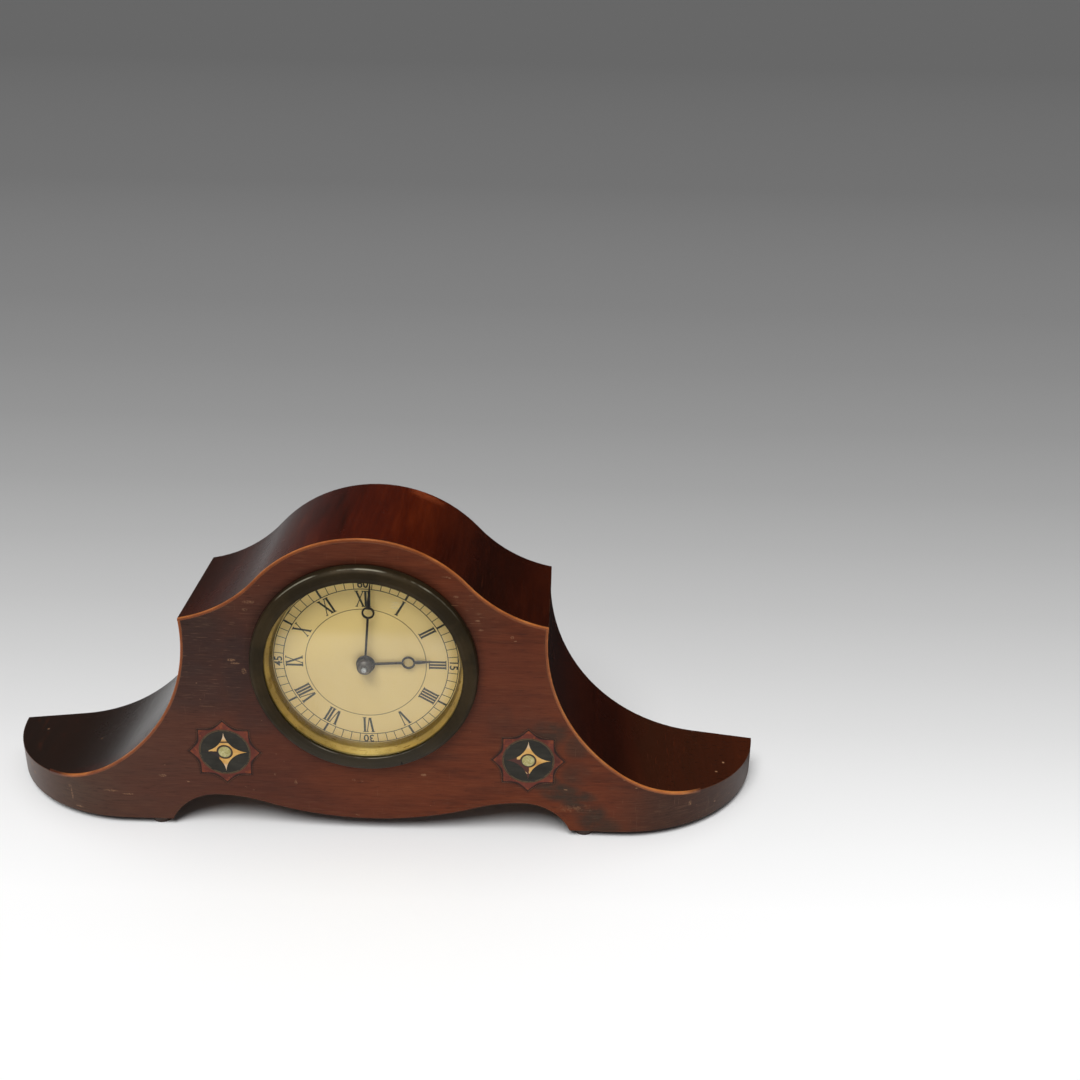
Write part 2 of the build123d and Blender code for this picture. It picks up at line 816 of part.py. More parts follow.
def winding_pieces():
    near = rear_face + clear_gap
    far = near + ratchet_thick
    step = 360 / ratchet_teeth
    points = []
    for i in range(ratchet_teeth):
        points.append(away((0, 0), (i - ratchet_undercut) * step, ratchet_radius - ratchet_tooth))
        points.append(away((0, 0), i * step, ratchet_radius))
    hole = winding_square + 2 * seat_gap
    face = make_face(Polyline(*points, close=True)) - Rectangle(hole, hole)
    ratchet = slab(Pos(*barrel_at) * face, near, far)
    nose_line = click_direction + click_lead
    nose = away(barrel_at, nose_line, ratchet_radius + clear_gap + click_nose)
    click_face = tapered_bar(click_at, nose, click_radius, click_nose)
    click_face -= Pos(*click_at) * Circle(stud_radius + run_gap)
    click = slab(click_face, near, far)
    key = disc(barrel_at, key_hub_radius, key_start, key_end)
    wing = Ellipse(key_span / 4, key_wing_height / 2)
    wings = Pos(-key_span / 4, 0) * wing + Pos(key_span / 4, 0) * wing
    blade = extrude(Plane.XY * wings, amount=key_wing_thick / 2, both=True)
    key += Pos(barrel_at[0], front_y + key_end - key_wing_height / 2, barrel_at[1]) * blade
    key -= slab(Pos(*barrel_at) * Rectangle(hole, hole), key_start, key_end - clear_gap)
    return {"ratchet_wheel": ratchet, "click": click, "winding_key": key}


def train_pieces():
    bore = arbor_radius + seat_gap
    great_mid = great_wheel_depth + great_wheel_thick / 2
    second_near = great_mid - pinion_length / 2 + clear_gap
    third_near = centre_wheel_depth - pinion_overhang
    third_length = back_plate_depth - clear_gap - third_near
    fourth_near = third_wheel_depth - pinion_overhang
    escape_near = fourth_wheel_depth - pinion_overhang
    pinions = {
        "second": (second_at, second_pinion_leaves, great_module, second_leaf_phase),
        "third": (third_at, third_pinion_leaves, centre_module, third_leaf_phase),
        "fourth": (fourth_at, fourth_pinion_leaves, third_module, fourth_leaf_phase),
        "escape": (escape_at, escape_pinion_leaves, fourth_module, escape_leaf_phase),
    }
    spans = {
        "second": (second_near, pinion_length),
        "third": (third_near, third_length),
        "fourth": (fourth_near, pinion_length),
        "escape": (escape_near, pinion_length),
    }
    arbors = {}
    for name, pinion in pinions.items():
        near, length = spans[name]
        arbors[name] = pivoted(pinion[0], arbor_radius) + leaves(*pinion, near, near + length)
    pipe_bore = centre_arbor_radius + run_gap
    centre_face = toothed(centre_pinion_leaves, second_module, leaf_share, leaf_lean, centre_leaf_phase)
    centre_face -= Circle(pipe_bore)
    pinion_near = second_wheel_depth - clear_gap
    wheels = {
        "second_wheel": (second_at, second_teeth, second_module, second_phase, bore, second_wheel_depth),
        "centre_wheel": (middle, centre_teeth, centre_module, centre_phase, pipe_bore, centre_wheel_depth),
        "third_wheel": (third_at, third_teeth, third_module, third_phase, bore, third_wheel_depth),
        "fourth_wheel": (fourth_at, fourth_teeth, fourth_module, fourth_phase, bore, fourth_wheel_depth),
    }
    pieces = {name: wheel(*sizes) for name, sizes in wheels.items()}
    pieces["centre_pinion"] = slab(Pos(*middle) * centre_face, pinion_near, centre_wheel_depth)
    for name in ("second", "third", "fourth"):
        pieces[f"{name}_arbor"] = arbors[name]
    return pieces, arbors["escape"]


def escapement_pieces(escape_arbor):
    step = 360 / escape_teeth
    points = []
    for i in range(escape_teeth):
        points.append(away((0, 0), i * step, escape_tip))
        points.append(away((0, 0), (i + escape_land) * step, escape_tip))
        points.append(away((0, 0), (i + escape_back) * step, escape_root))
        points.append(away((0, 0), (i + escape_gullet) * step, escape_root))
    face = make_face(Polyline(*points, close=True))
    escape = slab(Pos(*escape_at) * face, escape_depth, escape_depth + lever_thick) + escape_arbor

    lever_near = escape_depth + lever_thick + clear_gap
    lever_far = lever_near + lever_thick
    body = Pos(*pallet_at) * Circle(pallet_hub_radius)
    pins = []
    for side in (-1, 1):
        pin_at = away(escape_at, pallet_direction + side * pallet_half_span, pallet_pin_circle)
        body += tapered_bar(pallet_at, pin_at, lever_root, pallet_tip_radius)
        pins.append(disc(pin_at, pallet_pin_radius, escape_depth, lever_far))
    fork_end = away(pallet_at, balance_direction, lever_length - arbor_radius)
    body += tapered_bar(pallet_at, fork_end, lever_root, arbor_radius)
    slot = away(pallet_at, balance_direction, lever_length)
    body -= Pos(*slot) * Circle(fork_notch_radius)
    lever = slab(body, lever_near, lever_far) + pivoted(pallet_at, arbor_radius)
    for pin in pins:
        lever += pin

    rim = Circle(balance_radius) - Circle(balance_radius - balance_rim)
    bar = Rectangle(2 * balance_radius - balance_rim, balance_bar) + Circle(2 * staff_radius)
    balance_face = rim + Rot(0, 0, balance_direction) * bar - Circle(staff_radius + seat_gap)
    balance = slab(Pos(*balance_at) * balance_face, balance_depth, collet_depth)
    roller_near = lever_far + clear_gap
    roller_far = roller_near + lever_thick
    staff = disc(balance_at, staff_radius, front_plate_depth, cock_depth + cock_thick)
    staff += disc(balance_at, roller_radius, roller_near, roller_far)
    impulse_at = away(balance_at, balance_direction + 180, impulse_radius)
    roller_arm = tapered_bar(balance_at, impulse_at, staff_radius, pallet_pin_radius)
    staff += slab(roller_arm, roller_near, roller_far)
    staff += disc(impulse_at, pallet_pin_radius, lever_near, roller_far)
    collet_radius = hairspring_inner - hairspring_strip / 2 - seat_gap
    coil_far = coil_depth + hairspring_height
    staff += disc(balance_at, collet_radius, collet_depth, coil_far)
    coil = spiral(hairspring_inner, hairspring_pitch, hairspring_half_turns, hairspring_strip)
    spring = slab(Pos(*balance_at) * coil, coil_depth, coil_far)

    cock_far = cock_depth + cock_thick
    cock_face = tapered_bar(cock_foot_at, balance_at, cock_foot_radius, cock_foot_radius)
    cock_face += tapered_bar(balance_at, stud_at(), cock_neck_radius, cock_tip_radius)
    cock_face -= Pos(*balance_at) * Circle(staff_radius + run_gap)
    cock = slab(cock_face, cock_depth, cock_far)
    cock += disc(cock_foot_at, cock_foot_radius, rear_face, cock_depth)
    cock += disc(stud_at(), spring_stud_radius, coil_depth, cock_depth)

    reg_end = away(balance_at, regulator_direction, regulator_length)
    reg_face = tapered_bar(balance_at, reg_end, regulator_boss, regulator_tip)
    reg_face -= Pos(*balance_at) * Circle(staff_radius + clear_gap)
    regulator = slab(reg_face, cock_far + run_gap, cock_far + run_gap + regulator_thick)
    return {
        "escape_wheel": escape,
        "pallet_lever": lever,
        "balance_wheel": balance,
        "balance_staff": staff,
        "hairspring": spring,
        "balance_cock": cock,
        "regulator": regulator,
    }


def stud_at():
    # place where the outer end of the hairspring is pinned
    reach = hairspring_inner + hairspring_half_turns * hairspring_pitch / 2
    return (balance_at[0] - reach - spring_stud_radius, balance_at[1])


def tapered_bar(start, end, start_radius, end_radius):
    # flat bar with round ends, drawn as the hull of two circles
    span = hypot(end[0] - start[0], end[1] - start[1])
    line = bearing(start, end)
    lean = degrees(atan2(sqrt(span**2 - (start_radius - end_radius) ** 2), start_radius - end_radius))
    edge = []
    for side in (1, -1):
        edge.append(away(start, line + side * lean, start_radius))
        edge.append(away(end, line + side * lean, end_radius))
    web = make_face(Polyline(edge[0], edge[1], edge[3], edge[2], close=True))
    return web + Pos(*start) * Circle(start_radius) + Pos(*end) * Circle(end_radius)


def motion_pieces():
    pipe_bore = centre_arbor_radius + seat_gap
    cannon_face = toothed(cannon_leaves, minute_module, leaf_share, leaf_lean, cannon_phase)
    cannon_face -= Circle(pipe_bore)
    cannon = slab(Pos(*middle) * cannon_face, cannon_depth, cannon_depth + cannon_teeth_length)
    tube = Circle(cannon_radius) - Circle(pipe_bore)
    cannon += slab(Pos(*middle) * tube, minute_hand_depth, cannon_depth)
    hour_bore = cannon_radius + run_gap
    hour = wheel(middle, hour_teeth, hour_module, hour_phase, hour_bore, hour_wheel_depth)
    pipe = Circle(hour_pipe_radius) - Circle(hour_bore)
    hour += slab(Pos(*middle) * pipe, hour_hand_depth, hour_wheel_depth)
    post_bore = stud_radius + run_gap
    minute = wheel(minute_post_at, minute_teeth, minute_module, minute_phase, post_bore, minute_wheel_depth)
    leaf_face = toothed(minute_pinion_leaves, hour_module, leaf_share, leaf_lean, minute_leaf_phase)
    leaf_near = hour_wheel_depth - clear_gap
    minute += slab(Pos(*minute_post_at) * (leaf_face - Circle(post_bore)), leaf_near, minute_wheel_depth)
    studs = [disc(minute_post_at, stud_radius, leaf_near - clear_gap, train_front)]
    click_far = rear_face + 2 * clear_gap + ratchet_thick
    click_stud = disc(click_at, stud_radius, back_plate_depth, click_far)
    studs.append(click_stud + disc(click_at, stud_head_radius, click_far, click_far + stud_head_thick))
    arbor = disc(middle, centre_arbor_radius, hand_tip_depth, set_knob_start + set_knob_length)
    knob_end = set_knob_start + set_knob_length
    neck_end = set_knob_start + set_knob_neck_length
    knob = turned(
        middle,
        (pipe_bore, set_knob_start),
        (set_knob_neck_radius, set_knob_start),
        (set_knob_neck_radius, neck_end),
        (set_knob_radius, neck_end + set_knob_bevel),
        (set_knob_radius, knob_end - set_knob_bevel),
        (set_knob_radius - set_knob_bevel, knob_end),
        (pipe_bore, knob_end),
    )
    return {
        "cannon_pinion": cannon,
        "hour_wheel": hour,
        "minute_wheel": minute,
        "studs": group(studs),
        "centre_arbor": arbor,
        "set_knob": knob,
    }


def hand(length, ring_at, ring_radius, boss, bore, angle, depth):
    # flat hand with a ring on its stem and a lance tip, turned clockwise from twelve
    face = Circle(boss)
    stem_end = ring_at - ring_radius + hand_ring_width / 2
    face += Pos(0, stem_end / 2) * Rectangle(hand_stem, stem_end)
    neck = ring_at + ring_radius - hand_ring_width / 2
    lance = Polyline(
        (-hand_stem / 2, neck),
        (-hand_lance / 2, neck + hand_lance),
        (-hand_stem / 4, length),
        (hand_stem / 4, length),
        (hand_lance / 2, neck + hand_lance),
        (hand_stem / 2, neck),
        close=True,
    )
    face += make_face(lance)
    face += Pos(0, ring_at) * (Circle(ring_radius) - Circle(ring_radius - hand_ring_width))
    face -= Circle(bore)
    return slab(Pos(*middle) * Rot(0, 0, -angle) * face, depth, depth + hand_thick)


def hand_pieces():
    # domed hub that covers the middle of both hands
    bore = centre_arbor_radius + seat_gap
    back = minute_hand_depth
    front = hand_tip_depth + hand_hub_drop
    edge = (hand_hub_radius, back - hand_hub_edge)
    dome = [
        Line((bore, back), (hand_hub_radius, back)),
        Line((hand_hub_radius, back), edge),
        TangentArc(edge, (bore, front), tangent=(0, -1)),
        Line((bore, front), (bore, back)),
    ]
    hub = Pos(0, front_y, dial_z) * revolve(make_face(dome), Axis.Y)
    return {
        "hour_hand": hand(
            hour_hand_length,
            hour_ring_at,
            hour_ring_radius,
            hour_hand_boss,
            hour_pipe_radius + seat_gap,
            hour_hand_angle,
            hour_hand_depth,
        ),
        "minute_hand": hand(
            minute_hand_length,
            minute_ring_at,
            minute_ring_radius,
            hand_hub_radius,
            cannon_radius + seat_gap,
            minute_hand_angle,
            minute_hand_depth,
        ),
        "hand_hub": hub,
    }


def knuckle(low, high):
    y = front_y + case_depth + ring_thick + clear_gap + door_thick
    body = Cylinder(hinge_knuckle_radius, high - low, align=(Align.CENTER, Align.CENTER, Align.MIN))
    return Pos(hinge_x, y, dial_z + low) * body


def hinge_leaf(edge, low, high):
    # flat leaf from a round edge out to the hinge line
    reach = hinge_x - edge + hinge_leaf_lap
    return Pos(hinge_x - reach / 2, dial_z + (low + high) / 2) * Rectangle(reach, high - low)


def door_pieces():
    outer = case_depth
    ring = turned(
        middle,
        (opening_radius - seat_gap, outer - ring_spigot),
        (opening_radius - seat_gap, outer),
        (ring_radius, outer),
        (ring_radius, outer + ring_thick),
        (opening_radius - ring_wall, outer + ring_thick),
        (opening_radius - ring_wall, outer - ring_spigot),
    )
    near = outer + ring_thick + clear_gap
    far = near + door_thick
    door = disc(middle, door_radius, near, far)
    rim = Circle(door_radius) - Circle(door_radius - door_rim)
    door += slab(Pos(*middle) * rim, far, far + door_rim)
    pin_at = Pos(hinge_x, front_y + far, dial_z)
    pin_hole = pin_at * Cylinder(hinge_pin_radius + run_gap, 4 * hinge_half_length)
    leaf_gap = clear_gap / 2
    ring_leaf_height = hinge_half_length - door_knuckle_half - leaf_gap
    for side in (-1, 1):
        low = door_knuckle_half + leaf_gap if side > 0 else -hinge_half_length
        ring += slab(hinge_leaf(ring_radius, low, low + ring_leaf_height), outer, outer + ring_thick)
        ring += knuckle(low, low + ring_leaf_height)
    ring -= pin_hole
    door += slab(hinge_leaf(door_radius, -door_knuckle_half, door_knuckle_half), near, far)
    door += knuckle(-door_knuckle_half, door_knuckle_half)
    door -= pin_hole
    pin = pin_at * Cylinder(hinge_pin_radius, 2 * hinge_half_length)
    neck_end = far + door_knob_neck_length
    knob_far = case_depth + rear_proud
    door += turned(
        (-door_knob_x, dial_z),
        (0, far),
        (door_knob_neck, far),
        (door_knob_neck, neck_end),
        (door_knob_radius, neck_end + door_knob_bevel),
        (door_knob_radius, knob_far - door_knob_bevel),
        (door_knob_radius - door_knob_bevel, knob_far),
        (0, knob_far),
    )
    return {"back_ring": ring, "back_door": door, "hinge_pin": pin}


nodes = {}
nodes.update(case_pieces())
nodes.update(patera_pieces())
nodes.update(dial_pieces())
nodes.update(frame_pieces())
nodes.update(barrel_pieces())
nodes.update(winding_pieces())
train, escape_spindle = train_pieces()
nodes.update(train)
nodes.update(escapement_pieces(escape_spindle))
nodes.update(motion_pieces())
nodes.update(hand_pieces())
nodes.update(door_pieces())

os.makedirs("parts", exist_ok=True)
for name, shape in nodes.items():
    export_step(shape, f"parts/{name}.step")
print(len(nodes), "nodes")
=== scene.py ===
import json
import math

import bmesh
import bpy
from mathutils import Matrix, Vector


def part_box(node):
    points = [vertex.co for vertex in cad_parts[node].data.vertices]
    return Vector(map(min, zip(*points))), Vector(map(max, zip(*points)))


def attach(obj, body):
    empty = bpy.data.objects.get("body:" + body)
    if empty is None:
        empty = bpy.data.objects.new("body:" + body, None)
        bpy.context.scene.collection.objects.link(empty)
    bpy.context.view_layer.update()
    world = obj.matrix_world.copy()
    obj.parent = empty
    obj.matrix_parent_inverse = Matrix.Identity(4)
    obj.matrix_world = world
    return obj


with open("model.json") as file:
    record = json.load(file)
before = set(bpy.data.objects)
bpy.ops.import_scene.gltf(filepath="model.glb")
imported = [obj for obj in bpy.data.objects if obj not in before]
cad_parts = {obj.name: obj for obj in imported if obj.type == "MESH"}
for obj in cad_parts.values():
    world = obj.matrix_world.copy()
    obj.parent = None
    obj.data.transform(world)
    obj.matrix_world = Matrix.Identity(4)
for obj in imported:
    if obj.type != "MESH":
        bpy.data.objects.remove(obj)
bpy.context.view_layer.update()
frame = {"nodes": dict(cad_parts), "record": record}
nodes = frame["nodes"]
print("frame loaded,", len(nodes), "nodes")

mm = 0.001
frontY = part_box("front_board")[0].y
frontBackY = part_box("front_board")[1].y
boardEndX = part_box("front_board")[1].x
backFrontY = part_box("back_board")[0].y
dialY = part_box("dial")[0].y
bezelLow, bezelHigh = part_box("bezel")
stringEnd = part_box("stringing_right")[1].x
dialZ = (bezelLow.z + bezelHigh.z) / 2


def tone(red, green, blue):  # a colour as it is seen, 0 to 255
    seen = [c / 255 for c in (red, green, blue)]
    return [c / 12.92 if c <= 0.04045 else ((c + 0.055) / 1.055) ** 2.4 for c in seen] + [1.0]


class Wire:  # a socket that takes part in sums
    def __init__(self, graph, socket):
        self.graph = graph
        self.socket = socket

    def calc(self, operation, first, second):
        return self.graph.put("ShaderNodeMath", {"operation": operation}, {0: first, 1: second})

    def __add__(self, other):
        return self.calc("ADD", self, other)

    def __radd__(self, other):
        return self.calc("ADD", other, self)

    def __sub__(self, other):
        return self.calc("SUBTRACT", self, other)

    def __rsub__(self, other):
        return self.calc("SUBTRACT", other, self)

    def __mul__(self, other):
        return self.calc("MULTIPLY", self, other)

    def __rmul__(self, other):
        return self.calc("MULTIPLY", other, self)

    def __truediv__(self, other):
        return self.calc("DIVIDE", self, other)

    def __pow__(self, other):
        return self.calc("POWER", self, other)

    def __abs__(self):
        return self.calc("ABSOLUTE", self, 0.0)

    def most(self, other):
        return self.calc("MAXIMUM", self, other)

    def over(self, other):
        return self.calc("GREATER_THAN", self, other)


class Graph:  # node tree of one finish
    def __init__(self, tree):
        self.tree = tree
        tree.nodes.clear()
        self.spot = self.put("ShaderNodeTexCoord", {}, {}, "Object")

    def put(self, kind, settings, links, out=0):
        node = self.tree.nodes.new(kind)
        for key, value in settings.items():
            if key != "stops":
                setattr(node, key, value)
                continue
            marks = node.color_ramp.elements
            for i, (place, colour) in enumerate(value):
                mark = marks[i] if i < 2 else marks.new(place)
                mark.position = place
                mark.color = colour
        for key, value in links.items():
            if isinstance(value, Wire):
                self.tree.links.new(value.socket, node.inputs[key])
            else:
                node.inputs[key].default_value = value
        return Wire(self, node.outputs[out]) if node.outputs else None

    def axes(self, vector=None):
        node = self.put("ShaderNodeSeparateXYZ", {}, {0: vector or self.spot}).socket.node
        return [Wire(self, socket) for socket in node.outputs]

    def stretched(self, scale, turn=(0, 0, 0)):
        links = {"Vector": self.spot, "Rotation": turn, "Scale": scale}
        return self.put("ShaderNodeMapping", {}, links)

    def cloud(self, vector, scale=1.0, detail=4.0, rough=0.55, warp=0.0):
        links = {"Vector": vector, "Scale": scale, "Detail": detail}
        links.update({"Roughness": rough, "Distortion": warp})
        return self.put("ShaderNodeTexNoise", {}, links)

    def step(self, value, low, high):
        links = {"Value": value, "From Min": low, "From Max": high}
        return self.put("ShaderNodeMapRange", {"interpolation_type": "SMOOTHSTEP"}, links)

    def ramp(self, value, *stops):
        return self.put("ShaderNodeValToRGB", {"stops": stops}, {0: value})

    def threeTones(self, value, look):
        return self.ramp(value, (0.32, look["dark"]), (0.50, look["mid"]), (0.68, look["light"]))

    def mix(self, share, first, second):  # of two colours
        links = {0: share, 6: first, 7: second}
        return self.put("ShaderNodeMix", {"data_type": "RGBA"}, links, 2)

    def blend(self, share, first, second):  # of two directions
        links = {0: share, 4: first, 5: second}
        return self.put("ShaderNodeMix", {"data_type": "VECTOR"}, links, 1)

    def bump(self, height, depth, normal=None):
        links = {"Strength": 1.0, "Distance": depth, "Height": height}
        if normal:
            links["Normal"] = normal
        return self.put("ShaderNodeBump", {}, links)

    def rounded(self, radius):
        return self.put("ShaderNodeBevel", {"samples": 4}, {"Radius": radius})

    def normal(self):  # which way the surface looks
        return self.put("ShaderNodeNewGeometry", {}, {}, "Normal")

    def edges(self, roundedNormal):  # 1 along the arrises, 0 on open faces
        links = {0: roundedNormal, 1: self.normal()}
        along = self.put("ShaderNodeVectorMath", {"operation": "DOT_PRODUCT"}, links, 1)
        return self.step(1 - along, 0.02, 0.22)

    def ray(self, kind):  # 1 on rays of this kind
        return self.put("ShaderNodeLightPath", {}, {}, kind)

    def fromDial(self, lift=0.0):  # across, up and outwards from the dial centre, in millimetres
        px, _, pz = self.axes()
        across = px * 1000
        rise = (pz - dialZ) * 1000 - lift
        return across, rise, (across * across + rise * rise) ** 0.5

    def spotAt(self, x, z, wide, high, soft):  # soft oval mark on the front, in millimetres
        px, _, pz = self.axes()
        dx = (px - x * mm) / (wide * mm)
        dz = (pz - z * mm) / (high * mm)
        return 1 - self.step(dx * dx + dz * dz, 1 - soft, 1 + soft)

    def surface(self, **sockets):
        links = {key.replace("_", " "): value for key, value in sockets.items()}
        return self.put("ShaderNodeBsdfPrincipled", {}, links)

    def close(self, shader):
        self.put("ShaderNodeOutputMaterial", {}, {"Surface": shader})


def strongestOf(marks):  # several marks in one
    strongest = marks[0]
    for mark in marks[1:]:
        strongest = strongest.most(mark)
    return strongest


finishes = {}


def newFinish(name):
    material = bpy.data.materials.new(name)
    material.use_nodes = True
    finishes[name] = material
    return Graph(material.node_tree)


# Polished mahogany of the case: worn front, deep red glossy top
caseLook = {
    "frontDark": tone(72, 32, 16),
    "frontMid": tone(98, 45, 23),
    "frontLight": tone(110, 54, 28),
    "bloom": tone(77, 55, 45),
    "redDark": tone(72, 40, 31),
    "topDark": tone(40, 11, 4),
    "topMid": tone(66, 18, 5),
    "topLight": tone(90, 31, 9),
    "darkPolish": tone(25, 12, 7),
    "blackPolish": tone(31, 25, 21),
    "stain": tone(50, 42, 34),
    "shade": tone(46, 36, 34),
    "bareWood": tone(160, 120, 88),
    "edgeWood": tone(128, 92, 64),
    "wornTop": tone(142, 66, 34),
    "frontRough": 0.40,
    "topRough": 0.26,
    "noseBloom": tone(54, 39, 31),
    "leftBloomAndSheen": tone(71, 55, 44),
    "bloomShare": {"left": 0.7, "right": 0.86},
    "noseLine": tone(92, 46, 26),
    "brownTop": tone(52, 27, 15),
    # painted shade round the upper part of the bezel
    "bezelShade": tone(22, 13, 9),
    "shadeEdge": (62.6, 63.9),
    "shadeSpread": (63.5, 69.0),
    "halo": tone(48, 28, 21),
    "pore": tone(22, 8, 5),
    "backDark": tone(62, 38, 23),
    "backMid": tone(90, 58, 36),
    "backLight": tone(114, 78, 50),
    "specular": 0.13,
    "topCoat": 0.3,
    "noseCoat": 0.16,
    "coatRough": 0.22,
    "arris": 0.0009,
    "relief": 0.00006,
}
# scale of the grain and of each kind of mark along x, y and z
veneerGrain = {
    "fine": (38, 160, 420),
    "broad": (6, 18, 34),
    "pores": (120, 900, 1500),
    "topFine": (330, 34, 330),
    "topBroad": (38, 7, 16),
    "cloudy": (9, 9, 14),
    "grime": (5, 30, 14),
    "across": (75, 75, 2400),
    "upright": (1900, 1900, 60),
    "mottled": (26, 26, 70),
    "hair": (75, 300, 1300),
    "flecks": (160, 300, 420),
    "smear": (24, 24, 24),
}
# single patches of the polish: x, z, half width, half height, softness
patches = {
    "underDial": (4, 34, 36, 12, 0.9),
    "besideDial": (78, 96, 28, 36, 1.0),
    "scuff": (117, 19.5, 9, 3.0, 0.9),
    "rubbed": (57, 146, 11, 12, 0.8),
    "wornTop": (26, 177, 12, 5, 0.8),
}
# ragged stains on the front: x, z, half width, half height, strength
stains = [
    (99, 36, 9, 5, 0.9),
    (109, 30, 11, 6, 1.0),
    (119, 25, 10, 6, 1.0),
    (126, 15, 9, 10, 0.95),
    (132, 7, 11, 7, 0.8),
    (117, 42, 8, 8, 0.6),
    (102, 69, 10, 9, 0.9),
    (117, 61, 7, 8, 0.65),
    (74, 76, 8, 10, 0.35),
    (60, 142, 16, 14, 0.35),
]
# smooth darkening of the polish: x, z, half width, half height, strength
shades = [
    (-92, 118, 26, 30, 0.75),
    (-70, 106, 12, 30, 0.8),
    (-62, 78, 12, 14, 0.55),
    (-92, 92, 26, 16, 0.6),
    (-56, 132, 14, 12, 0.35),
]
# small bruises that show paler wood: x, z, half width, half height
bruises = [
    (-60.8, 145.6, 3.2, 0.9),
    (-63.0, 141.0, 1.6, 0.8),
    (-72.7, 109.9, 2.2, 0.8),
    (-70.5, 107.9, 2.6, 0.5),
    (-66.1, 103.2, 1.3, 1.9),
    (-53.5, 36.7, 0.7, 0.8),
    (-41.8, 31.7, 0.8, 1.6),
    (-8.7, 34.2, 0.9, 0.8),
    (-4.1, 33.7, 0.9, 1.0),
    (31.2, 39.0, 1.7, 0.8),
    (44.7, 163.6, 1.6, 0.5),
    (50.4, 152.0, 1.3, 0.7),
    (62.0, 138.0, 1.5, 0.6),
    (63.6, 132.5, 1.6, 0.5),
    (80.5, 128.5, 0.9, 0.9),
    (183.4, 17.6, 1.0, 1.6),
    (-118.0, 33.5, 2.4, 0.8),
    (-174.4, 14.6, 0.6, 3.4),
    (-175.2, 19.6, 1.1, 0.8),
    (-149.0, 21.9, 4.5, 0.6),
    (-139.0, 20.2, 3.0, 0.6),
    (-170.3, 7.0, 2.4, 0.5),
    (-205.7, 18.5, 1.4, 1.6),
    (-204.2, 14.0, 0.9, 1.1),
]
# pale flecks on the top of the noses: x, depth coordinate, strength
topFlecks = [(-207.4, 22.0, 0.6), (-166.7, 1.8, 0.3), (205.5, 6.3, 0.9), (200.3, -4.5, 0.9)]
# the two paterae: places of their centres and radii of their pieces, in millimetres
pateraLook = {
    "leftX": -81.0, "rightX": 90.0, "z": 50.5, "relief": 0.00006,
    "tip": 20.8, "valley": 16.9, "points": 8, "hollow": 1.75, "outline": 1.15, "shade": 1.8,
    "ground": 13.95, "seam": 14.55, "boss": 3.5, "bossHole": 4.2,
}


def nearerStar(g):  # place in millimetres from the nearer patera, and how far past its outline
    look = pateraLook
    px, _, pz = g.axes()
    right = px.over(0.0)
    dx = px * 1000 - look["leftX"] - right * (look["rightX"] - look["leftX"])
    dz = pz * 1000 - look["z"]
    reach = (dx * dx + dz * dz) ** 0.5
    half = math.pi / look["points"]
    turn = dx.calc("ARCTAN2", dz, dx) + 4 * math.pi + half
    lean = turn.calc("PINGPONG", turn, half) / half
    edge = look["valley"] + (look["tip"] - look["valley"]) * lean ** look["hollow"]
    return {"past": reach - edge, "reach": reach, "dx": dx, "dz": dz, "right": right}


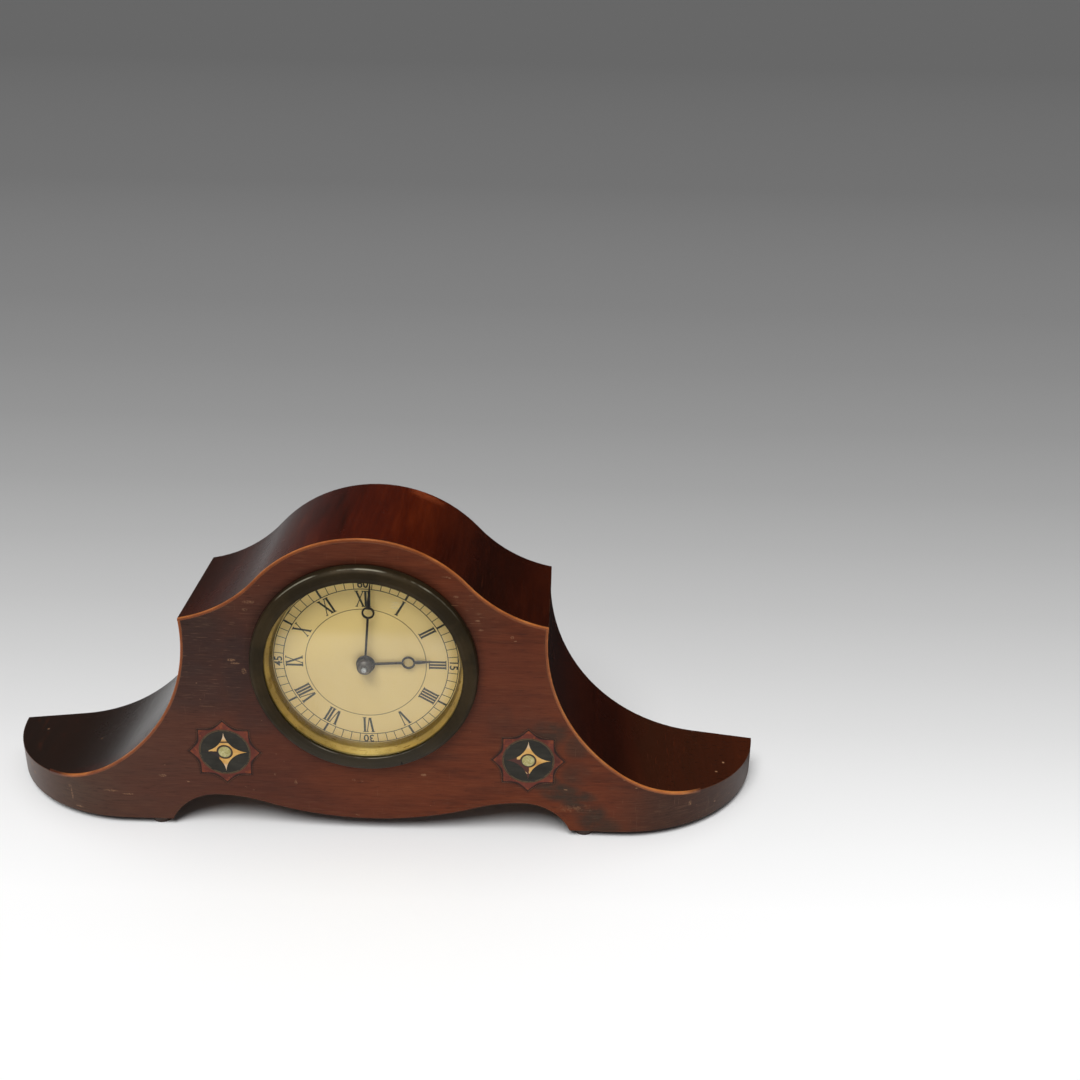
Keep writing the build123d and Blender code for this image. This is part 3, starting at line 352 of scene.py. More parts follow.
def caseVeneer(name, backWood=False):
    look = caseLook
    grain = veneerGrain
    g = newFinish(name)
    px, py, pz = g.axes()
    side, back, up = g.axes(g.normal())
    top = g.step(up, 0.12, 0.3).most(1 - g.step(abs(back), 0.05, 0.2))
    # front: long horizontal grain; top: grain from front to back across the bent veneer
    fine = g.cloud(g.stretched(grain["fine"]), 1.0, 6.0, 0.62, 0.35)
    broad = g.cloud(g.stretched(grain["broad"]), 1.0, 4.0, 0.55, 0.6)
    pores = g.step(g.cloud(g.stretched(grain["pores"]), 1.0, 2.0, 0.5), 0.60, 0.72)
    topFine = g.cloud(g.stretched(grain["topFine"]), 1.0, 5.0, 0.6, 0.3)
    topBroad = g.cloud(g.stretched(grain["topBroad"]), 1.0, 3.0, 0.5, 0.5)
    front = g.ramp(
        fine * 0.5 + broad * 0.5,
        (0.33, look["frontDark"]), (0.50, look["frontMid"]), (0.70, look["frontLight"]),
    )
    upper = g.ramp(
        topFine * 0.3 + topBroad * 0.7,
        (0.32, look["topDark"]), (0.50, look["topMid"]), (0.70, look["topLight"]),
    )
    ragged = g.cloud(g.spot, 70.0, 5.0, 0.65)
    cloudy = g.cloud(g.stretched(grain["cloudy"]), 1.0, 4.0, 0.6)
    # the front has bloomed grey towards the left
    front = g.mix(g.step(cloudy * 0.05 - px, -0.02, 0.09) * 0.62, front, look["redDark"])
    front = g.mix(g.step(cloudy * 0.09 - px, 0.08, 0.20) * 0.62, front, look["bloom"])
    # the top is darker on the right, on the left shoulder and on the left nose
    darkRight = g.step(px + cloudy * 0.03, 0.03, 0.085)
    darkRight = darkRight * (1 - g.step(px - cloudy * 0.02, 0.125, 0.165) * 0.8)
    upper = g.mix(darkRight * 0.66, upper, look["darkPolish"])
    shoulder = g.step(cloudy * 0.03 - px, 0.025, 0.085) * 0.5
    upper = g.mix(shoulder, upper, look["blackPolish"])
    upper = g.mix(g.step(px + cloudy * 0.02, 0.145, 0.175) * 0.7, upper, look["brownTop"])
    lip = 1 - g.step(py - frontY, 0.004, 0.016)
    darkLeft = g.step(cloudy * 0.02 - px, 0.095, 0.125) * (1 - lip * 0.6)
    upper = g.mix(darkLeft * 0.85, upper, look["blackPolish"])
    # shades, stains and bloom of the front
    shaded = strongestOf([g.spotAt(*oval, 1.0) * strength for *oval, strength in shades])
    front = g.mix(shaded * g.step(cloudy + ragged * 0.4, 0.42, 0.72), front, look["shade"])
    stained = strongestOf([g.spotAt(*oval, 0.85) * strength for *oval, strength in stains])
    grime = g.step(g.cloud(g.stretched(grain["grime"]), 1.0, 4.0, 0.6), 0.58, 0.78) * 0.35
    stained = (stained * g.step(ragged + fine * 0.5, 0.38, 0.86)).most(grime)
    front = g.mix(stained, front, look["stain"])
    ends = g.step(abs(px) + cloudy * 0.02, 0.14, 0.185)
    right = px.over(0.0)
    front = g.mix(ends * right * look["bloomShare"]["right"], front, look["noseBloom"])
    # grey bloom of the polish on the left nose, made lighter as a painted sheen
    front = g.mix(ends * (1 - right) * look["bloomShare"]["left"], front, look["leftBloomAndSheen"])
    under = g.spotAt(*patches["underDial"]) * (0.4 + broad * 0.6)
    front = g.mix(under * 0.7, front, look["frontLight"])
    beside = g.spotAt(*patches["besideDial"]) * (0.4 + 0.6 * g.step(cloudy, 0.36, 0.66))
    front = g.mix(beside * 0.5, front, look["redDark"])
    scuff = g.spotAt(*patches["scuff"]) * g.step(g.cloud(g.spot, 420.0, 4.0, 0.7), 0.46, 0.64)
    front = g.mix(scuff * 0.45, front, look["edgeWood"])
    # painted shade in the gap round the upper part of the bezel, spreading over the board above
    # it; a dark line round the inlaid stars
    _, rise, reach = g.fromDial()
    bezelShadeMask = (1 - g.step(reach, *look["shadeEdge"])) * 0.85
    bezelShadeMask = bezelShadeMask.most((1 - g.step(reach + ragged * 3.0, *look["shadeSpread"])) * 0.5)
    front = g.mix(bezelShadeMask * g.step(rise, -20.0, 30.0), front, look["bezelShade"])
    halo = (1 - g.step(nearerStar(g)["past"], 0.0, pateraLook["shade"])) * 0.6
    front = g.mix(halo, front, look["halo"])
    # wear: bruises, scratches, mottling and pale flecks
    bared = strongestOf([g.spotAt(*oval, 0.6) for oval in bruises])
    chips = g.cloud(g.spot, 1300.0, 3.0, 0.7)
    bared = bared * g.step(chips + ragged * 0.5, 0.64, 0.92) * 0.62
    rubbed = g.spotAt(*patches["rubbed"])
    across = g.step(g.cloud(g.stretched(grain["across"]), 1.0, 3.0, 0.6), 0.61, 0.67)
    across = across * (0.16 + shaded * 0.3 + rubbed * 0.4)
    upright = g.cloud(g.stretched(grain["upright"], (0, 0.1, 0)), 1.0, 3.0, 0.6)
    upright = g.step(upright, 0.66, 0.71) * 0.22
    scratches = across.most(upright) * g.step(cloudy, 0.40, 0.66).most(rubbed)
    mottled = g.step(g.cloud(g.stretched(grain["mottled"]), 1.0, 5.0, 0.68), 0.34, 0.68)
    front = g.mix(mottled * 0.2, front, look["frontDark"])
    hair = g.cloud(g.stretched(grain["hair"]), 1.0, 4.0, 0.6)
    front = g.mix(g.step(hair, 0.50, 0.66) * 0.2, front, look["darkPolish"])
    front = g.mix((1 - g.step(hair, 0.32, 0.48)) * 0.09, front, look["edgeWood"])
    flecks = g.cloud(g.stretched(grain["flecks"], (0, 0.35, 0)), 1.0, 2.0, 0.5)
    flecks = g.step(flecks, 0.735, 0.76) * 0.55
    front = g.mix(bared.most(flecks).most(scratches), front, look["bareWood"])
    wornPatch = g.spotAt(*patches["wornTop"]) * g.step(py, 0.026, 0.036)
    wornPatch = wornPatch * g.step(ragged, 0.36, 0.58)
    upper = g.mix(wornPatch * 0.8, upper, look["wornTop"])
    dots = []
    for x, y, strength in topFlecks:
        dx = px * 1000 - x
        dy = py * 1000 - y
        dots.append(strength * (1 - g.step(dx * dx + dy * dy, 0.2, 0.9)))
    upper = g.mix(strongestOf(dots) * g.step(chips, 0.36, 0.56), upper, look["bareWood"])
    upper = g.mix(scratches * 0.35, upper, look["wornTop"])
    colour = g.mix(top, front, upper)
    colour = g.mix(pores * 0.45, colour, look["pore"])
    if backWood:  # plain wood on the rear face only
        plain = g.ramp(
            fine * 0.5 + broad * 0.5,
            (0.32, look["backDark"]), (0.50, look["backMid"]), (0.68, look["backLight"]),
        )
        colour = g.mix(g.step(back, 0.6, 0.8), colour, plain)
    # the veneer runs on over the flush joints between the boards
    flush = [abs(abs(px) - boardEndX)]
    flush += [abs(py - y) + (1 - top) for y in (frontBackY, backFrontY)]
    joint = strongestOf([1 - g.step(gap, 0.0012, 0.0022) for gap in flush])
    soft = g.blend(joint, g.rounded(look["arris"]), g.normal())
    arris = g.edges(soft)
    colour = g.mix(arris * g.step(ragged, 0.36, 0.60) * 0.7, colour, look["edgeWood"])
    noseLine = arris * g.step(abs(px), stringEnd - 0.002, stringEnd) * g.step(pz, 0.014, 0.018)
    colour = g.mix(noseLine * 0.75, colour, look["noseLine"])
    # polish
    smear = g.cloud(g.stretched(grain["smear"]), 1.0, 5.0, 0.6)
    rough = look["frontRough"] + (smear - 0.5) * 0.22 + stained * 0.12 + bared * 0.2
    topRough = look["topRough"] + (smear - 0.5) * 0.16
    rough = rough * (1 - top) + topRough * top
    height = fine * 0.25 + chips * 0.04 + smear * 0.3
    height = height - pores * 0.5 - bared * 0.8 - scratches * 0.6
    noseShine = g.step(abs(side), 0.2, 0.75) * look["noseCoat"] * (1 - 0.5 * right)
    coat = (top * look["topCoat"] * (1 - 0.65 * g.step(px, 0.03, 0.08))).most(noseShine)
    g.close(g.surface(
        Base_Color=colour, Roughness=rough, Normal=g.bump(height, look["relief"], soft),
        Specular_IOR_Level=look["specular"], Coat_Weight=coat, Coat_Roughness=look["coatRough"],
    ))


caseVeneer("front_veneer")
finishes["top_veneer"] = finishes["front_veneer"]
caseVeneer("back_veneer", True)


stringLook = {
    # face is the colour of the painted shade on the stringing
    "face": tone(104, 47, 19), "rubbedEnd": tone(76, 36, 20), "arris": 0.0010,
    "fadeFrom": 0.004, "fadeTo": 0.020, "rightLonger": 0.006, "ragged": 0.006,
}


def stringMarks(g, colour):  # painted shade on the faces of the line that look neither up nor outward, so it stays bright only along its upper, outer arris; fades to a rubbed red edge on the noses
    look = stringLook
    px, _, _ = g.axes()
    right = px.over(0.0)
    side, _, up = g.axes(g.rounded(look["arris"]))
    outward = up + side * (right * 2 - 1)
    # painted shade: faces that turn away from up and outward take the darker face colour
    colour = g.mix((1 - g.step(outward, 0.05, 0.55)) * 0.8, colour, look["face"])
    ragged = (g.cloud(g.spot, 120.0, 3.0, 0.6) - 0.5) * look["ragged"]
    toEnd = stringEnd - abs(px) + ragged + right * look["rightLonger"]
    faded = 1 - g.step(toEnd, look["fadeFrom"], look["fadeTo"])
    return g.mix(faded, colour, look["rubbedEnd"])


def timber(name, look, marks=None):  # plain wood with straight grain along one axis
    g = newFinish(name)
    fine = g.cloud(g.stretched(look["fine"]), 1.0, 6.0, 0.62, 0.3)
    broad = g.cloud(g.stretched(look["broad"]), 1.0, 3.0, 0.5, 0.8)
    pores = g.cloud(g.stretched([3 * v for v in look["fine"]]), 1.0, 2.0, 0.5)
    pores = g.step(pores, 0.58, 0.72)
    colour = g.threeTones(fine * 0.5 + broad * 0.5, look)
    colour = g.mix(pores * look["pores"], colour, look["dark"])
    dust = g.step(g.cloud(g.spot, 45.0, 5.0, 0.65), 0.5, 0.75)
    colour = g.mix(dust * look["dust"], colour, look["grime"])
    soft = g.rounded(look["arris"])
    worn = g.edges(soft) * g.step(g.cloud(g.spot, 160.0, 4.0, 0.6), 0.4, 0.6)
    colour = g.mix(worn * 0.5, colour, look["edge"])
    if marks:
        colour = marks(g, colour)
    rough = look["rough"] + (fine - 0.5) * 0.3 + dust * 0.1
    normal = g.bump(fine * 0.5 - pores * 0.5, look["relief"], soft)
    g.close(g.surface(
        Base_Color=colour, Roughness=rough, Normal=normal, Specular_IOR_Level=look["specular"],
    ))


timber("carcass_wood", {
    "dark": tone(74, 46, 28), "mid": tone(104, 68, 42), "light": tone(130, 90, 58),
    "grime": tone(58, 40, 28), "edge": tone(150, 112, 76), "fine": (12, 160, 300),
    "broad": (4, 30, 26), "pores": 0.5, "dust": 0.45, "rough": 0.55,
    "relief": 0.00012, "arris": 0.0006, "specular": 0.3,
})
timber("foot_wood", {
    "dark": tone(30, 20, 14), "mid": tone(48, 32, 23), "light": tone(64, 44, 32),
    "grime": tone(36, 31, 27), "edge": tone(92, 68, 50), "fine": (200, 200, 40),
    "broad": (40, 40, 12), "pores": 0.4, "dust": 0.4, "rough": 0.55,
    "relief": 0.0001, "arris": 0.0005, "specular": 0.3,
})
timber("boxwood", {
    "dark": tone(140, 72, 28), "mid": tone(186, 108, 48), "light": tone(208, 136, 70),
    "grime": tone(104, 52, 22), "edge": tone(212, 150, 94), "fine": (60, 200, 200),
    "broad": (9, 20, 9), "pores": 0.25, "dust": 0.5, "rough": 0.36,
    "relief": 0.00003, "arris": 0.0003, "specular": 0.3,
}, stringMarks)
print("wood finishes made")


def inlayFinish(name, look, marks):  # flush inlay, with the marks of each piece
    g = newFinish(name)
    fine = g.cloud(g.stretched(look["fine"]), 1.0, 5.0, 0.6, 0.4)
    broad = g.cloud(g.spot, 110.0, 4.0, 0.6)
    colour = g.threeTones(fine * 0.5 + broad * 0.5, look)
    colour, hollow = marks(g, colour, look, nearerStar(g))
    smear = g.cloud(g.spot, 240.0, 4.0, 0.6)
    rough = look["rough"] + (smear - 0.5) * 0.2 + hollow * 0.2
    normal = g.bump(fine * 0.4 - hollow * 1.5, pateraLook["relief"])
    g.close(g.surface(
        Base_Color=colour, Roughness=rough, Normal=normal, Specular_IOR_Level=look["specular"],
    ))


surroundLook = {
    "dark": tone(71, 31, 24), "mid": tone(96, 44, 33), "light": tone(124, 62, 44),
    "outline": tone(44, 25, 20), "joint": tone(148, 74, 34), "tip": tone(140, 68, 30),
    "seam": tone(92, 64, 44), "tipReach": (17.2, 19.4),
    "fine": (90, 200, 260), "rough": 0.36, "specular": 0.17,
}


def surroundMarks(g, colour, look, star):
    outline = pateraLook["outline"]
    line = g.step(star["past"], -outline - 0.45, -outline + 0.3)
    seam = 1 - g.step(abs(star["reach"] - pateraLook["seam"]), 0.12, 0.42)
    joints = g.step(g.cloud(g.spot, 520.0, 3.0, 0.6), 0.60, 0.68) * 0.5
    colour = g.mix(joints, colour, look["joint"])
    colour = g.mix(line, colour, look["outline"])
    ragged = (g.cloud(g.spot, 300.0, 3.0, 0.6) - 0.5) * 6
    tips = g.step(star["reach"] + ragged, *look["tipReach"]) * (1 - line)
    colour = g.mix(tips * 0.55, colour, look["tip"])
    return g.mix(seam * 0.8, colour, look["seam"]), line * 0.3


ebonyLook = {
    "dark": tone(30, 28, 23), "mid": tone(41, 39, 33), "light": tone(53, 50, 43),
    "crack": tone(86, 80, 70), "ring": tone(98, 78, 54), "crackGrain": (300, 300, 900),
    "fine": (40, 200, 300), "rough": 0.34, "specular": 0.17,
}


def groundMarks(g, colour, look, star):
    ring = 1 - g.step(abs(star["reach"] - pateraLook["ground"]), 0.14, 0.40)
    ring = ring * g.step(g.cloud(g.spot, 420.0, 3.0, 0.6), 0.34, 0.52)
    cracks = g.cloud(g.stretched(look["crackGrain"], (0, 0.5, 0)), 1.0, 3.0, 0.7)
    colour = g.mix(g.step(cracks, 0.62, 0.68) * 0.25, colour, look["crack"])
    return g.mix(ring * 0.7, colour, look["ring"]), ring * 0.2


starLook = {
    "dark": tone(172, 116, 52), "mid": tone(204, 156, 82), "light": tone(222, 182, 116),
    "pale": tone(206, 184, 158), "rim": tone(58, 38, 18), "bareLeft": tone(42, 33, 31),
    "bareRight": tone(74, 40, 32), "fine": (60, 200, 320), "rough": 0.36, "specular": 0.3,
    "leftBreak": (-3.2, 0.2), "leftTip": -8.8, "crackAt": 6.4, "paleTips": (6.8, 9.5),
    "rightBreak": (0.6, 0.8), "rightTips": (-6.4, -8.5), "sliverAt": 8.9,
}


def starMarks(g, colour, look, star):
    dx, dz, right = star["dx"], star["dz"], star["right"]
    ragged = (g.cloud(g.spot, 420.0, 4.0, 0.65) - 0.5) * 3.0
    # the left star has lost its left point and is cracked across its upper one
    breakX, breakZ = look["leftBreak"]
    lostLeft = g.step(breakX - dx + ragged, -0.3, 0.3)
    lostLeft = lostLeft * g.step(breakZ - dz + ragged * 0.6, -0.3, 0.3)
    lostLeft = lostLeft.most(g.step(look["leftTip"] - dx + ragged * 0.5, -0.3, 0.3)) * (1 - right)
    crack = 1 - g.step(abs(dz - look["crackAt"] + ragged * 0.2), 0.35, 0.7)
    crack = crack * (1 - right) * g.step(dz, 4.0, 5.0)
    # the right star has lost its left and lower left part but for a sliver
    breakX, breakZ = look["rightBreak"]
    lostRight = g.step(breakZ - dz + ragged * 0.4, -0.2, 0.3)
    lostRight = lostRight * g.step(breakX - dx + ragged * 0.4, -0.2, 0.3)
    sliver = 1 - g.step(abs(dx + dz * 0.95 + look["sliverAt"]), 0.45, 0.7)
    lostRight = lostRight * (1 - sliver * g.step(dx + ragged * 0.3, -5.6, -5.0))
    tipX, tipZ = look["rightTips"]
    lostTips = g.step(tipX - dx + ragged * 0.4, -0.2, 0.3)
    lostTips = lostTips.most(g.step(tipZ - dz + ragged * 0.3, -0.2, 0.3))
    lostRight = lostRight.most(lostTips) * right
    lost = lostLeft.most(lostRight).most(crack * 0.9)
    rim = 1 - g.step(abs(star["reach"] - pateraLook["bossHole"]), 0.25, 0.55)
    colour = g.mix(g.step(abs(dz), *look["paleTips"]) * 0.7, colour, look["pale"])
    colour = g.mix(rim, colour, look["rim"])
    bare = g.mix(right, look["bareLeft"], look["bareRight"])
    return g.mix(lost, colour, bare), lost.most(rim * 0.6)


bossLook = {
    "dark": tone(128, 116, 62), "mid": tone(154, 144, 84), "light": tone(178, 170, 112),
    "pearl": tone(200, 192, 140), "rim": tone(46, 34, 18),
    "fine": (260, 260, 260), "rough": 0.24, "specular": 0.5,
}


def bossMarks(g, colour, look, star):
    rim = g.step(star["reach"], pateraLook["boss"] - 0.2, pateraLook["boss"] + 0.2)
    pearl = g.step(g.cloud(g.spot, 380.0, 4.0, 0.6, 1.2), 0.46, 0.64)
    colour = g.mix(pearl * 0.6, colour, look["pearl"])
    return g.mix(rim, colour, look["rim"]), rim * 0.5


inlayFinish("red_inlay", surroundLook, surroundMarks)
inlayFinish("ebony", ebonyLook, groundMarks)
inlayFinish("satinwood", starLook, starMarks)
inlayFinish("green_inlay", bossLook, bossMarks)
print("inlay finishes made")


def metal(name, look, marks=None):
    g = newFinish(name)
    clouded = g.cloud(g.spot, look["patch"], 5.0, 0.62)
    tarnish = g.step(clouded, look["tarnishFrom"], look["tarnishFrom"] + 0.26)
    brushed = g.cloud(g.stretched(look["brush"]), 1.0, 3.0, 0.6)
    colour = g.mix(tarnish, look["clean"], look["tarnish"])
    spots = g.step(g.cloud(g.spot, look["patch"] * 9, 3.0, 0.6), 0.66, 0.74)
    colour = g.mix(spots * 0.5, colour, look["spot"])
    soft = g.rounded(look["arris"])
    rubbed = g.edges(soft) * g.step(clouded, 0.35, 0.6)
    colour = g.mix(rubbed * look["rub"], colour, look["bright"])
    if marks:
        colour = marks(g, colour)
    rough = look["rough"] + tarnish * look["tarnishRough"] + (brushed - 0.5) * 0.18 + spots * 0.12
    normal = g.bump(brushed * 0.5 + clouded * 0.4, look["relief"], soft)
    g.close(g.surface(
        Base_Color=colour, Metallic=look["metallic"], Roughness=rough, Normal=normal,
        Specular_IOR_Level=look.get("specular", 0.5),
    ))


bezelLook = {
    # rubbed and lip are the colours of painted highlights on the bezel
    "rubbed": tone(150, 146, 128), "lip": tone(190, 182, 160), "low": tone(58, 54, 46),
    "nick": tone(14, 11, 8), "edgeRadius": 61.9, "lipRadius": 54.5,
    "nickAt": (19.6, 49.0, 0.6, 2.4, 0.5),
}


def bezelMarks(g, colour):  # painted highlight along the top edge and along the lower lip, greyer towards the bottom, and a nick
    look = bezelLook
    _, rise, reach = g.fromDial()
    patchy = g.step(g.cloud(g.spot, 60.0, 4.0, 0.6), 0.36, 0.58)
    # painted highlight: a pale line along the top outer edge
    edge = (1 - g.step(abs(reach - look["edgeRadius"]), 0.1, 0.35)) * g.step(rise, 30.0, 52.0)
    colour = g.mix(edge * patchy * 0.7, colour, look["rubbed"])
    fall = 0 - rise
    # painted highlight: a pale line along the lower inner lip
    lip = (1 - g.step(abs(reach - look["lipRadius"]), 0.1, 0.3)) * g.step(fall, 42.0, 52.0)
    colour = g.mix(lip * patchy * 0.8, colour, look["lip"])
    colour = g.mix(g.step(fall, 30.0, 55.0) * 0.6, colour, look["low"])
    return g.mix(g.spotAt(*look["nickAt"]), colour, look["nick"])


metal("dark_brass", {
    "clean": tone(55, 44, 26), "tarnish": tone(42, 34, 20),
    "spot": tone(32, 26, 16), "bright": tone(88, 78, 56),
    "patch": 46.0, "tarnishFrom": 0.34, "brush": (260, 260, 260), "arris": 0.0006,
    "rub": 0.25, "metallic": 0.35, "rough": 0.46, "tarnishRough": 0.08,
    "relief": 0.00005, "specular": 0.15,
}, bezelMarks)
giltLook = {
    "dull": tone(104, 85, 30), "shaded": tone(70, 58, 32), "front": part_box("sight_ring")[0].y,
}


def giltMarks(g, colour):  # dull next to the dial, shaded close to the glass
    look = giltLook
    _, py, _ = g.axes()
    inward = (py - look["front"]) / (dialY - look["front"])
    dull = g.step(inward + (g.cloud(g.spot, 50.0, 3.0, 0.6) - 0.5) * 0.2, 0.45, 0.62)
    colour = g.mix(dull * 0.75, colour, look["dull"])
    return g.mix((1 - g.step(inward, 0.04, 0.12)) * 0.6, colour, look["shaded"])


metal("gilt_brass", {
    "clean": tone(196, 176, 112), "tarnish": tone(146, 126, 66),
    "spot": tone(96, 80, 38), "bright": tone(232, 218, 166),
    "patch": 90.0, "tarnishFrom": 0.50, "brush": (300, 900, 300), "arris": 0.0004,
    "rub": 0.5, "metallic": 0.9, "rough": 0.3, "tarnishRough": 0.12, "relief": 0.00003,
}, giltMarks)
metal("plate_brass", {
    "clean": tone(214, 182, 112), "tarnish": tone(168, 134, 72),
    "spot": tone(104, 80, 44), "bright": tone(236, 212, 150),
    "patch": 70.0, "tarnishFrom": 0.44, "brush": (40, 900, 900), "arris": 0.0004,
    "rub": 0.6, "metallic": 1.0, "rough": 0.3, "tarnishRough": 0.16, "relief": 0.00004,
})
metal("wheel_brass", {
    "clean": tone(222, 192, 118), "tarnish": tone(182, 148, 82),
    "spot": tone(116, 90, 48), "bright": tone(240, 220, 160),
    "patch": 120.0, "tarnishFrom": 0.5, "brush": (900, 900, 900), "arris": 0.0002,
    "rub": 0.5, "metallic": 1.0, "rough": 0.26, "tarnishRough": 0.16, "relief": 0.00002,
})
metal("door_brass", {
    "clean": tone(206, 170, 98), "tarnish": tone(150, 116, 62),
    "spot": tone(84, 62, 36), "bright": tone(230, 204, 140),
    "patch": 34.0, "tarnishFrom": 0.42, "brush": (70, 500, 900), "arris": 0.0004,
    "rub": 0.6, "metallic": 1.0, "rough": 0.32, "tarnishRough": 0.2, "relief": 0.00005,
})
metal("plated_steel", {
    "clean": tone(170, 168, 160), "tarnish": tone(122, 116, 104),
    "spot": tone(92, 66, 46), "bright": tone(206, 204, 198),
    "patch": 50.0, "tarnishFrom": 0.45, "brush": (200, 200, 200), "arris": 0.0003,
    "rub": 0.4, "metallic": 0.9, "rough": 0.4, "tarnishRough": 0.15, "relief": 0.00004,
})
metal("steel", {
    "clean": tone(182, 182, 182), "tarnish": tone(132, 130, 126),
    "spot": tone(96, 76, 60), "bright": tone(220, 220, 220),
    "patch": 120.0, "tarnishFrom": 0.5, "brush": (900, 200, 900), "arris": 0.0002,
    "rub": 0.4, "metallic": 1.0, "rough": 0.28, "tarnishRough": 0.14, "relief": 0.00002,
})
metal("blued_steel", {
    "clean": tone(52, 46, 44), "tarnish": tone(36, 32, 31),
    "spot": tone(72, 54, 42), "bright": tone(120, 112, 106),
    "patch": 150.0, "tarnishFrom": 0.42, "brush": (500, 500, 500), "arris": 0.0003,
    "rub": 0.55, "metallic": 0.75, "rough": 0.36, "tarnishRough": 0.1, "relief": 0.00002,
})
metal("spring_steel", {
    "clean": tone(92, 98, 118), "tarnish": tone(66, 66, 80),
    "spot": tone(80, 62, 48), "bright": tone(150, 156, 170),
    "patch": 140.0, "tarnishFrom": 0.45, "brush": (300, 900, 300), "arris": 0.0001,
    "rub": 0.3, "metallic": 1.0, "rough": 0.28, "tarnishRough": 0.1, "relief": 0.00001,
})


hubLook = {
    "rim": tone(52, 50, 50), "groove": tone(56, 54, 54), "pin": tone(196, 192, 186),
    "rimFrom": (2.9, 3.4), "grooveAt": 1.5, "pinTo": (0.9, 1.2),
}


def hubMarks(g, colour):  # dark rim and groove, and a painted highlight on the pin in the middle
    look = hubLook
    _, _, reach = g.fromDial()
    colour = g.mix(g.step(reach, *look["rimFrom"]) * 0.8, colour, look["rim"])
    groove = 1 - g.step(abs(reach - look["grooveAt"]), 0.15, 0.4)
    colour = g.mix(groove * 0.7, colour, look["groove"])
    # painted highlight on the centre pin
    return g.mix((1 - g.step(reach, *look["pinTo"])) * 0.8, colour, look["pin"])


metal("hub_steel", {
    "clean": tone(120, 112, 106), "tarnish": tone(92, 84, 78),
    "spot": tone(70, 58, 50), "bright": tone(176, 170, 162),
    "patch": 260.0, "tarnishFrom": 0.42, "brush": (700, 700, 700), "arris": 0.0004,
    "rub": 0.5, "metallic": 0.9, "rough": 0.42, "tarnishRough": 0.1, "relief": 0.00003,
}, hubMarks)
print("metal finishes made")

dialLook = {
    "paper": tone(226, 197, 138),
    "aged": tone(219, 187, 122),
    "edge": tone(217, 184, 114),
    # painted light: lightens the upper left of the dial against the bezel's shadow
    "upper": tone(242, 210, 138),
    "foxing": tone(168, 134, 78),
    "rough": 0.5,
    "relief": 0.00004,
    "ior": 1.45,
}


def dialFinish(name):
    look = dialLook
    g = newFinish(name)
    across, rise, reach = g.fromDial()
    aged = g.cloud(g.spot, 22.0, 4.0, 0.6)
    fibre = g.cloud(g.spot, 900.0, 3.0, 0.6)
    colour = g.mix(g.step(aged, 0.40, 0.66) * 0.6, look["paper"], look["aged"])
    colour = g.mix(g.step(reach + (aged - 0.5) * 12, 40.0, 54.0) * 0.5, colour, look["edge"])
    # painted light: the upper left of the dial is lightened to make up for the bezel's shadow
    colour = g.mix(g.step(rise - across * 0.4, 0.0, 30.0) * 0.8, colour, look["upper"])
    foxed = g.step(g.cloud(g.spot, 260.0, 4.0, 0.7), 0.66, 0.76)
    colour = g.mix(foxed * 0.22, colour, look["foxing"])
    worn = 1 - g.step(reach + (aged - 0.5) * 6, 4.0, 9.0)
    colour = g.mix(worn * 0.4, colour, look["foxing"])
    rough = look["rough"] + (fibre - 0.5) * 0.2 + (aged - 0.5) * 0.2
    normal = g.bump(fibre * 0.4 + aged, look["relief"])
    g.close(g.surface(Base_Color=colour, Roughness=rough, Normal=normal, IOR=look["ior"]))


glassLook = {
    "pane": tone(250, 251, 248),
    "clear": tone(246, 247, 243),
    "film": tone(214, 208, 190),
    "rough": 0.005,
    "ior": 1.06,
    "shineIor": 1.47,
    "shineRough": 0.01,
    "shineFade": (46.0, 50.0),  # hardly any shine out at the ground bevel
    "fadeLift": 2.5,
    "streaks": (120, 120, 900),
    # painted reflection streak near the I, as a pale film
    "glintAt": (17, dialZ / mm + 41, 8, 2.6, 0.9),
}


def glassFinish(name):
    look = glassLook
    g = newFinish(name)
    haze = g.cloud(g.spot, 34.0, 5.0, 0.6)
    _, _, reach = g.fromDial(look["fadeLift"])
    pane = g.surface(
        Base_Color=look["pane"], Roughness=look["rough"] + g.step(haze, 0.55, 0.8) * 0.03,
        IOR=look["ior"], Transmission_Weight=1.0,
        Coat_Weight=1 - 0.9 * g.step(reach, *look["shineFade"]),
        Coat_Roughness=look["shineRough"], Coat_IOR=look["shineIor"],
    )
    streaks = g.cloud(g.stretched(look["streaks"], (0, 0.3, 0)), 1.0, 4.0, 0.65)
    streaks = g.step(streaks, 0.54, 0.74)
    film = g.surface(Base_Color=look["film"], Roughness=0.8, Normal=g.bump(streaks, 0.00002))
    # pale film: faint dust over the whole glass, and a painted reflection streak near the I
    dust = g.spotAt(*look["glintAt"]) * streaks * 0.3 + g.step(haze, 0.5, 0.8) * 0.012
    pane = g.put("ShaderNodeMixShader", {}, {0: dust, 1: pane, 2: film})
    # light on its way to the dial goes straight through
    clear = g.put("ShaderNodeBsdfTransparent", {}, {0: look["clear"]})
    passing = g.ray("Is Shadow Ray").most(g.ray("Is Diffuse Ray"))
    g.close(g.put("ShaderNodeMixShader", {}, {0: passing, 1: pane, 2: clear}))


inkLook = {
    "dial_ink": (tone(43, 40, 34), tone(92, 86, 70)),
    "dial_line": (tone(104, 80, 46), tone(140, 114, 70)),
}


def printFinish(name, fresh, worn):
    g = newFinish(name)
    wear = g.step(g.cloud(g.spot, 700.0, 4.0, 0.65), 0.52, 0.70)
    colour = g.mix(wear * 0.45, fresh, worn)
    rough = 0.45 + wear * 0.15
    g.close(g.surface(Base_Color=colour, Roughness=rough, Normal=g.bump(wear, 0.00001)))


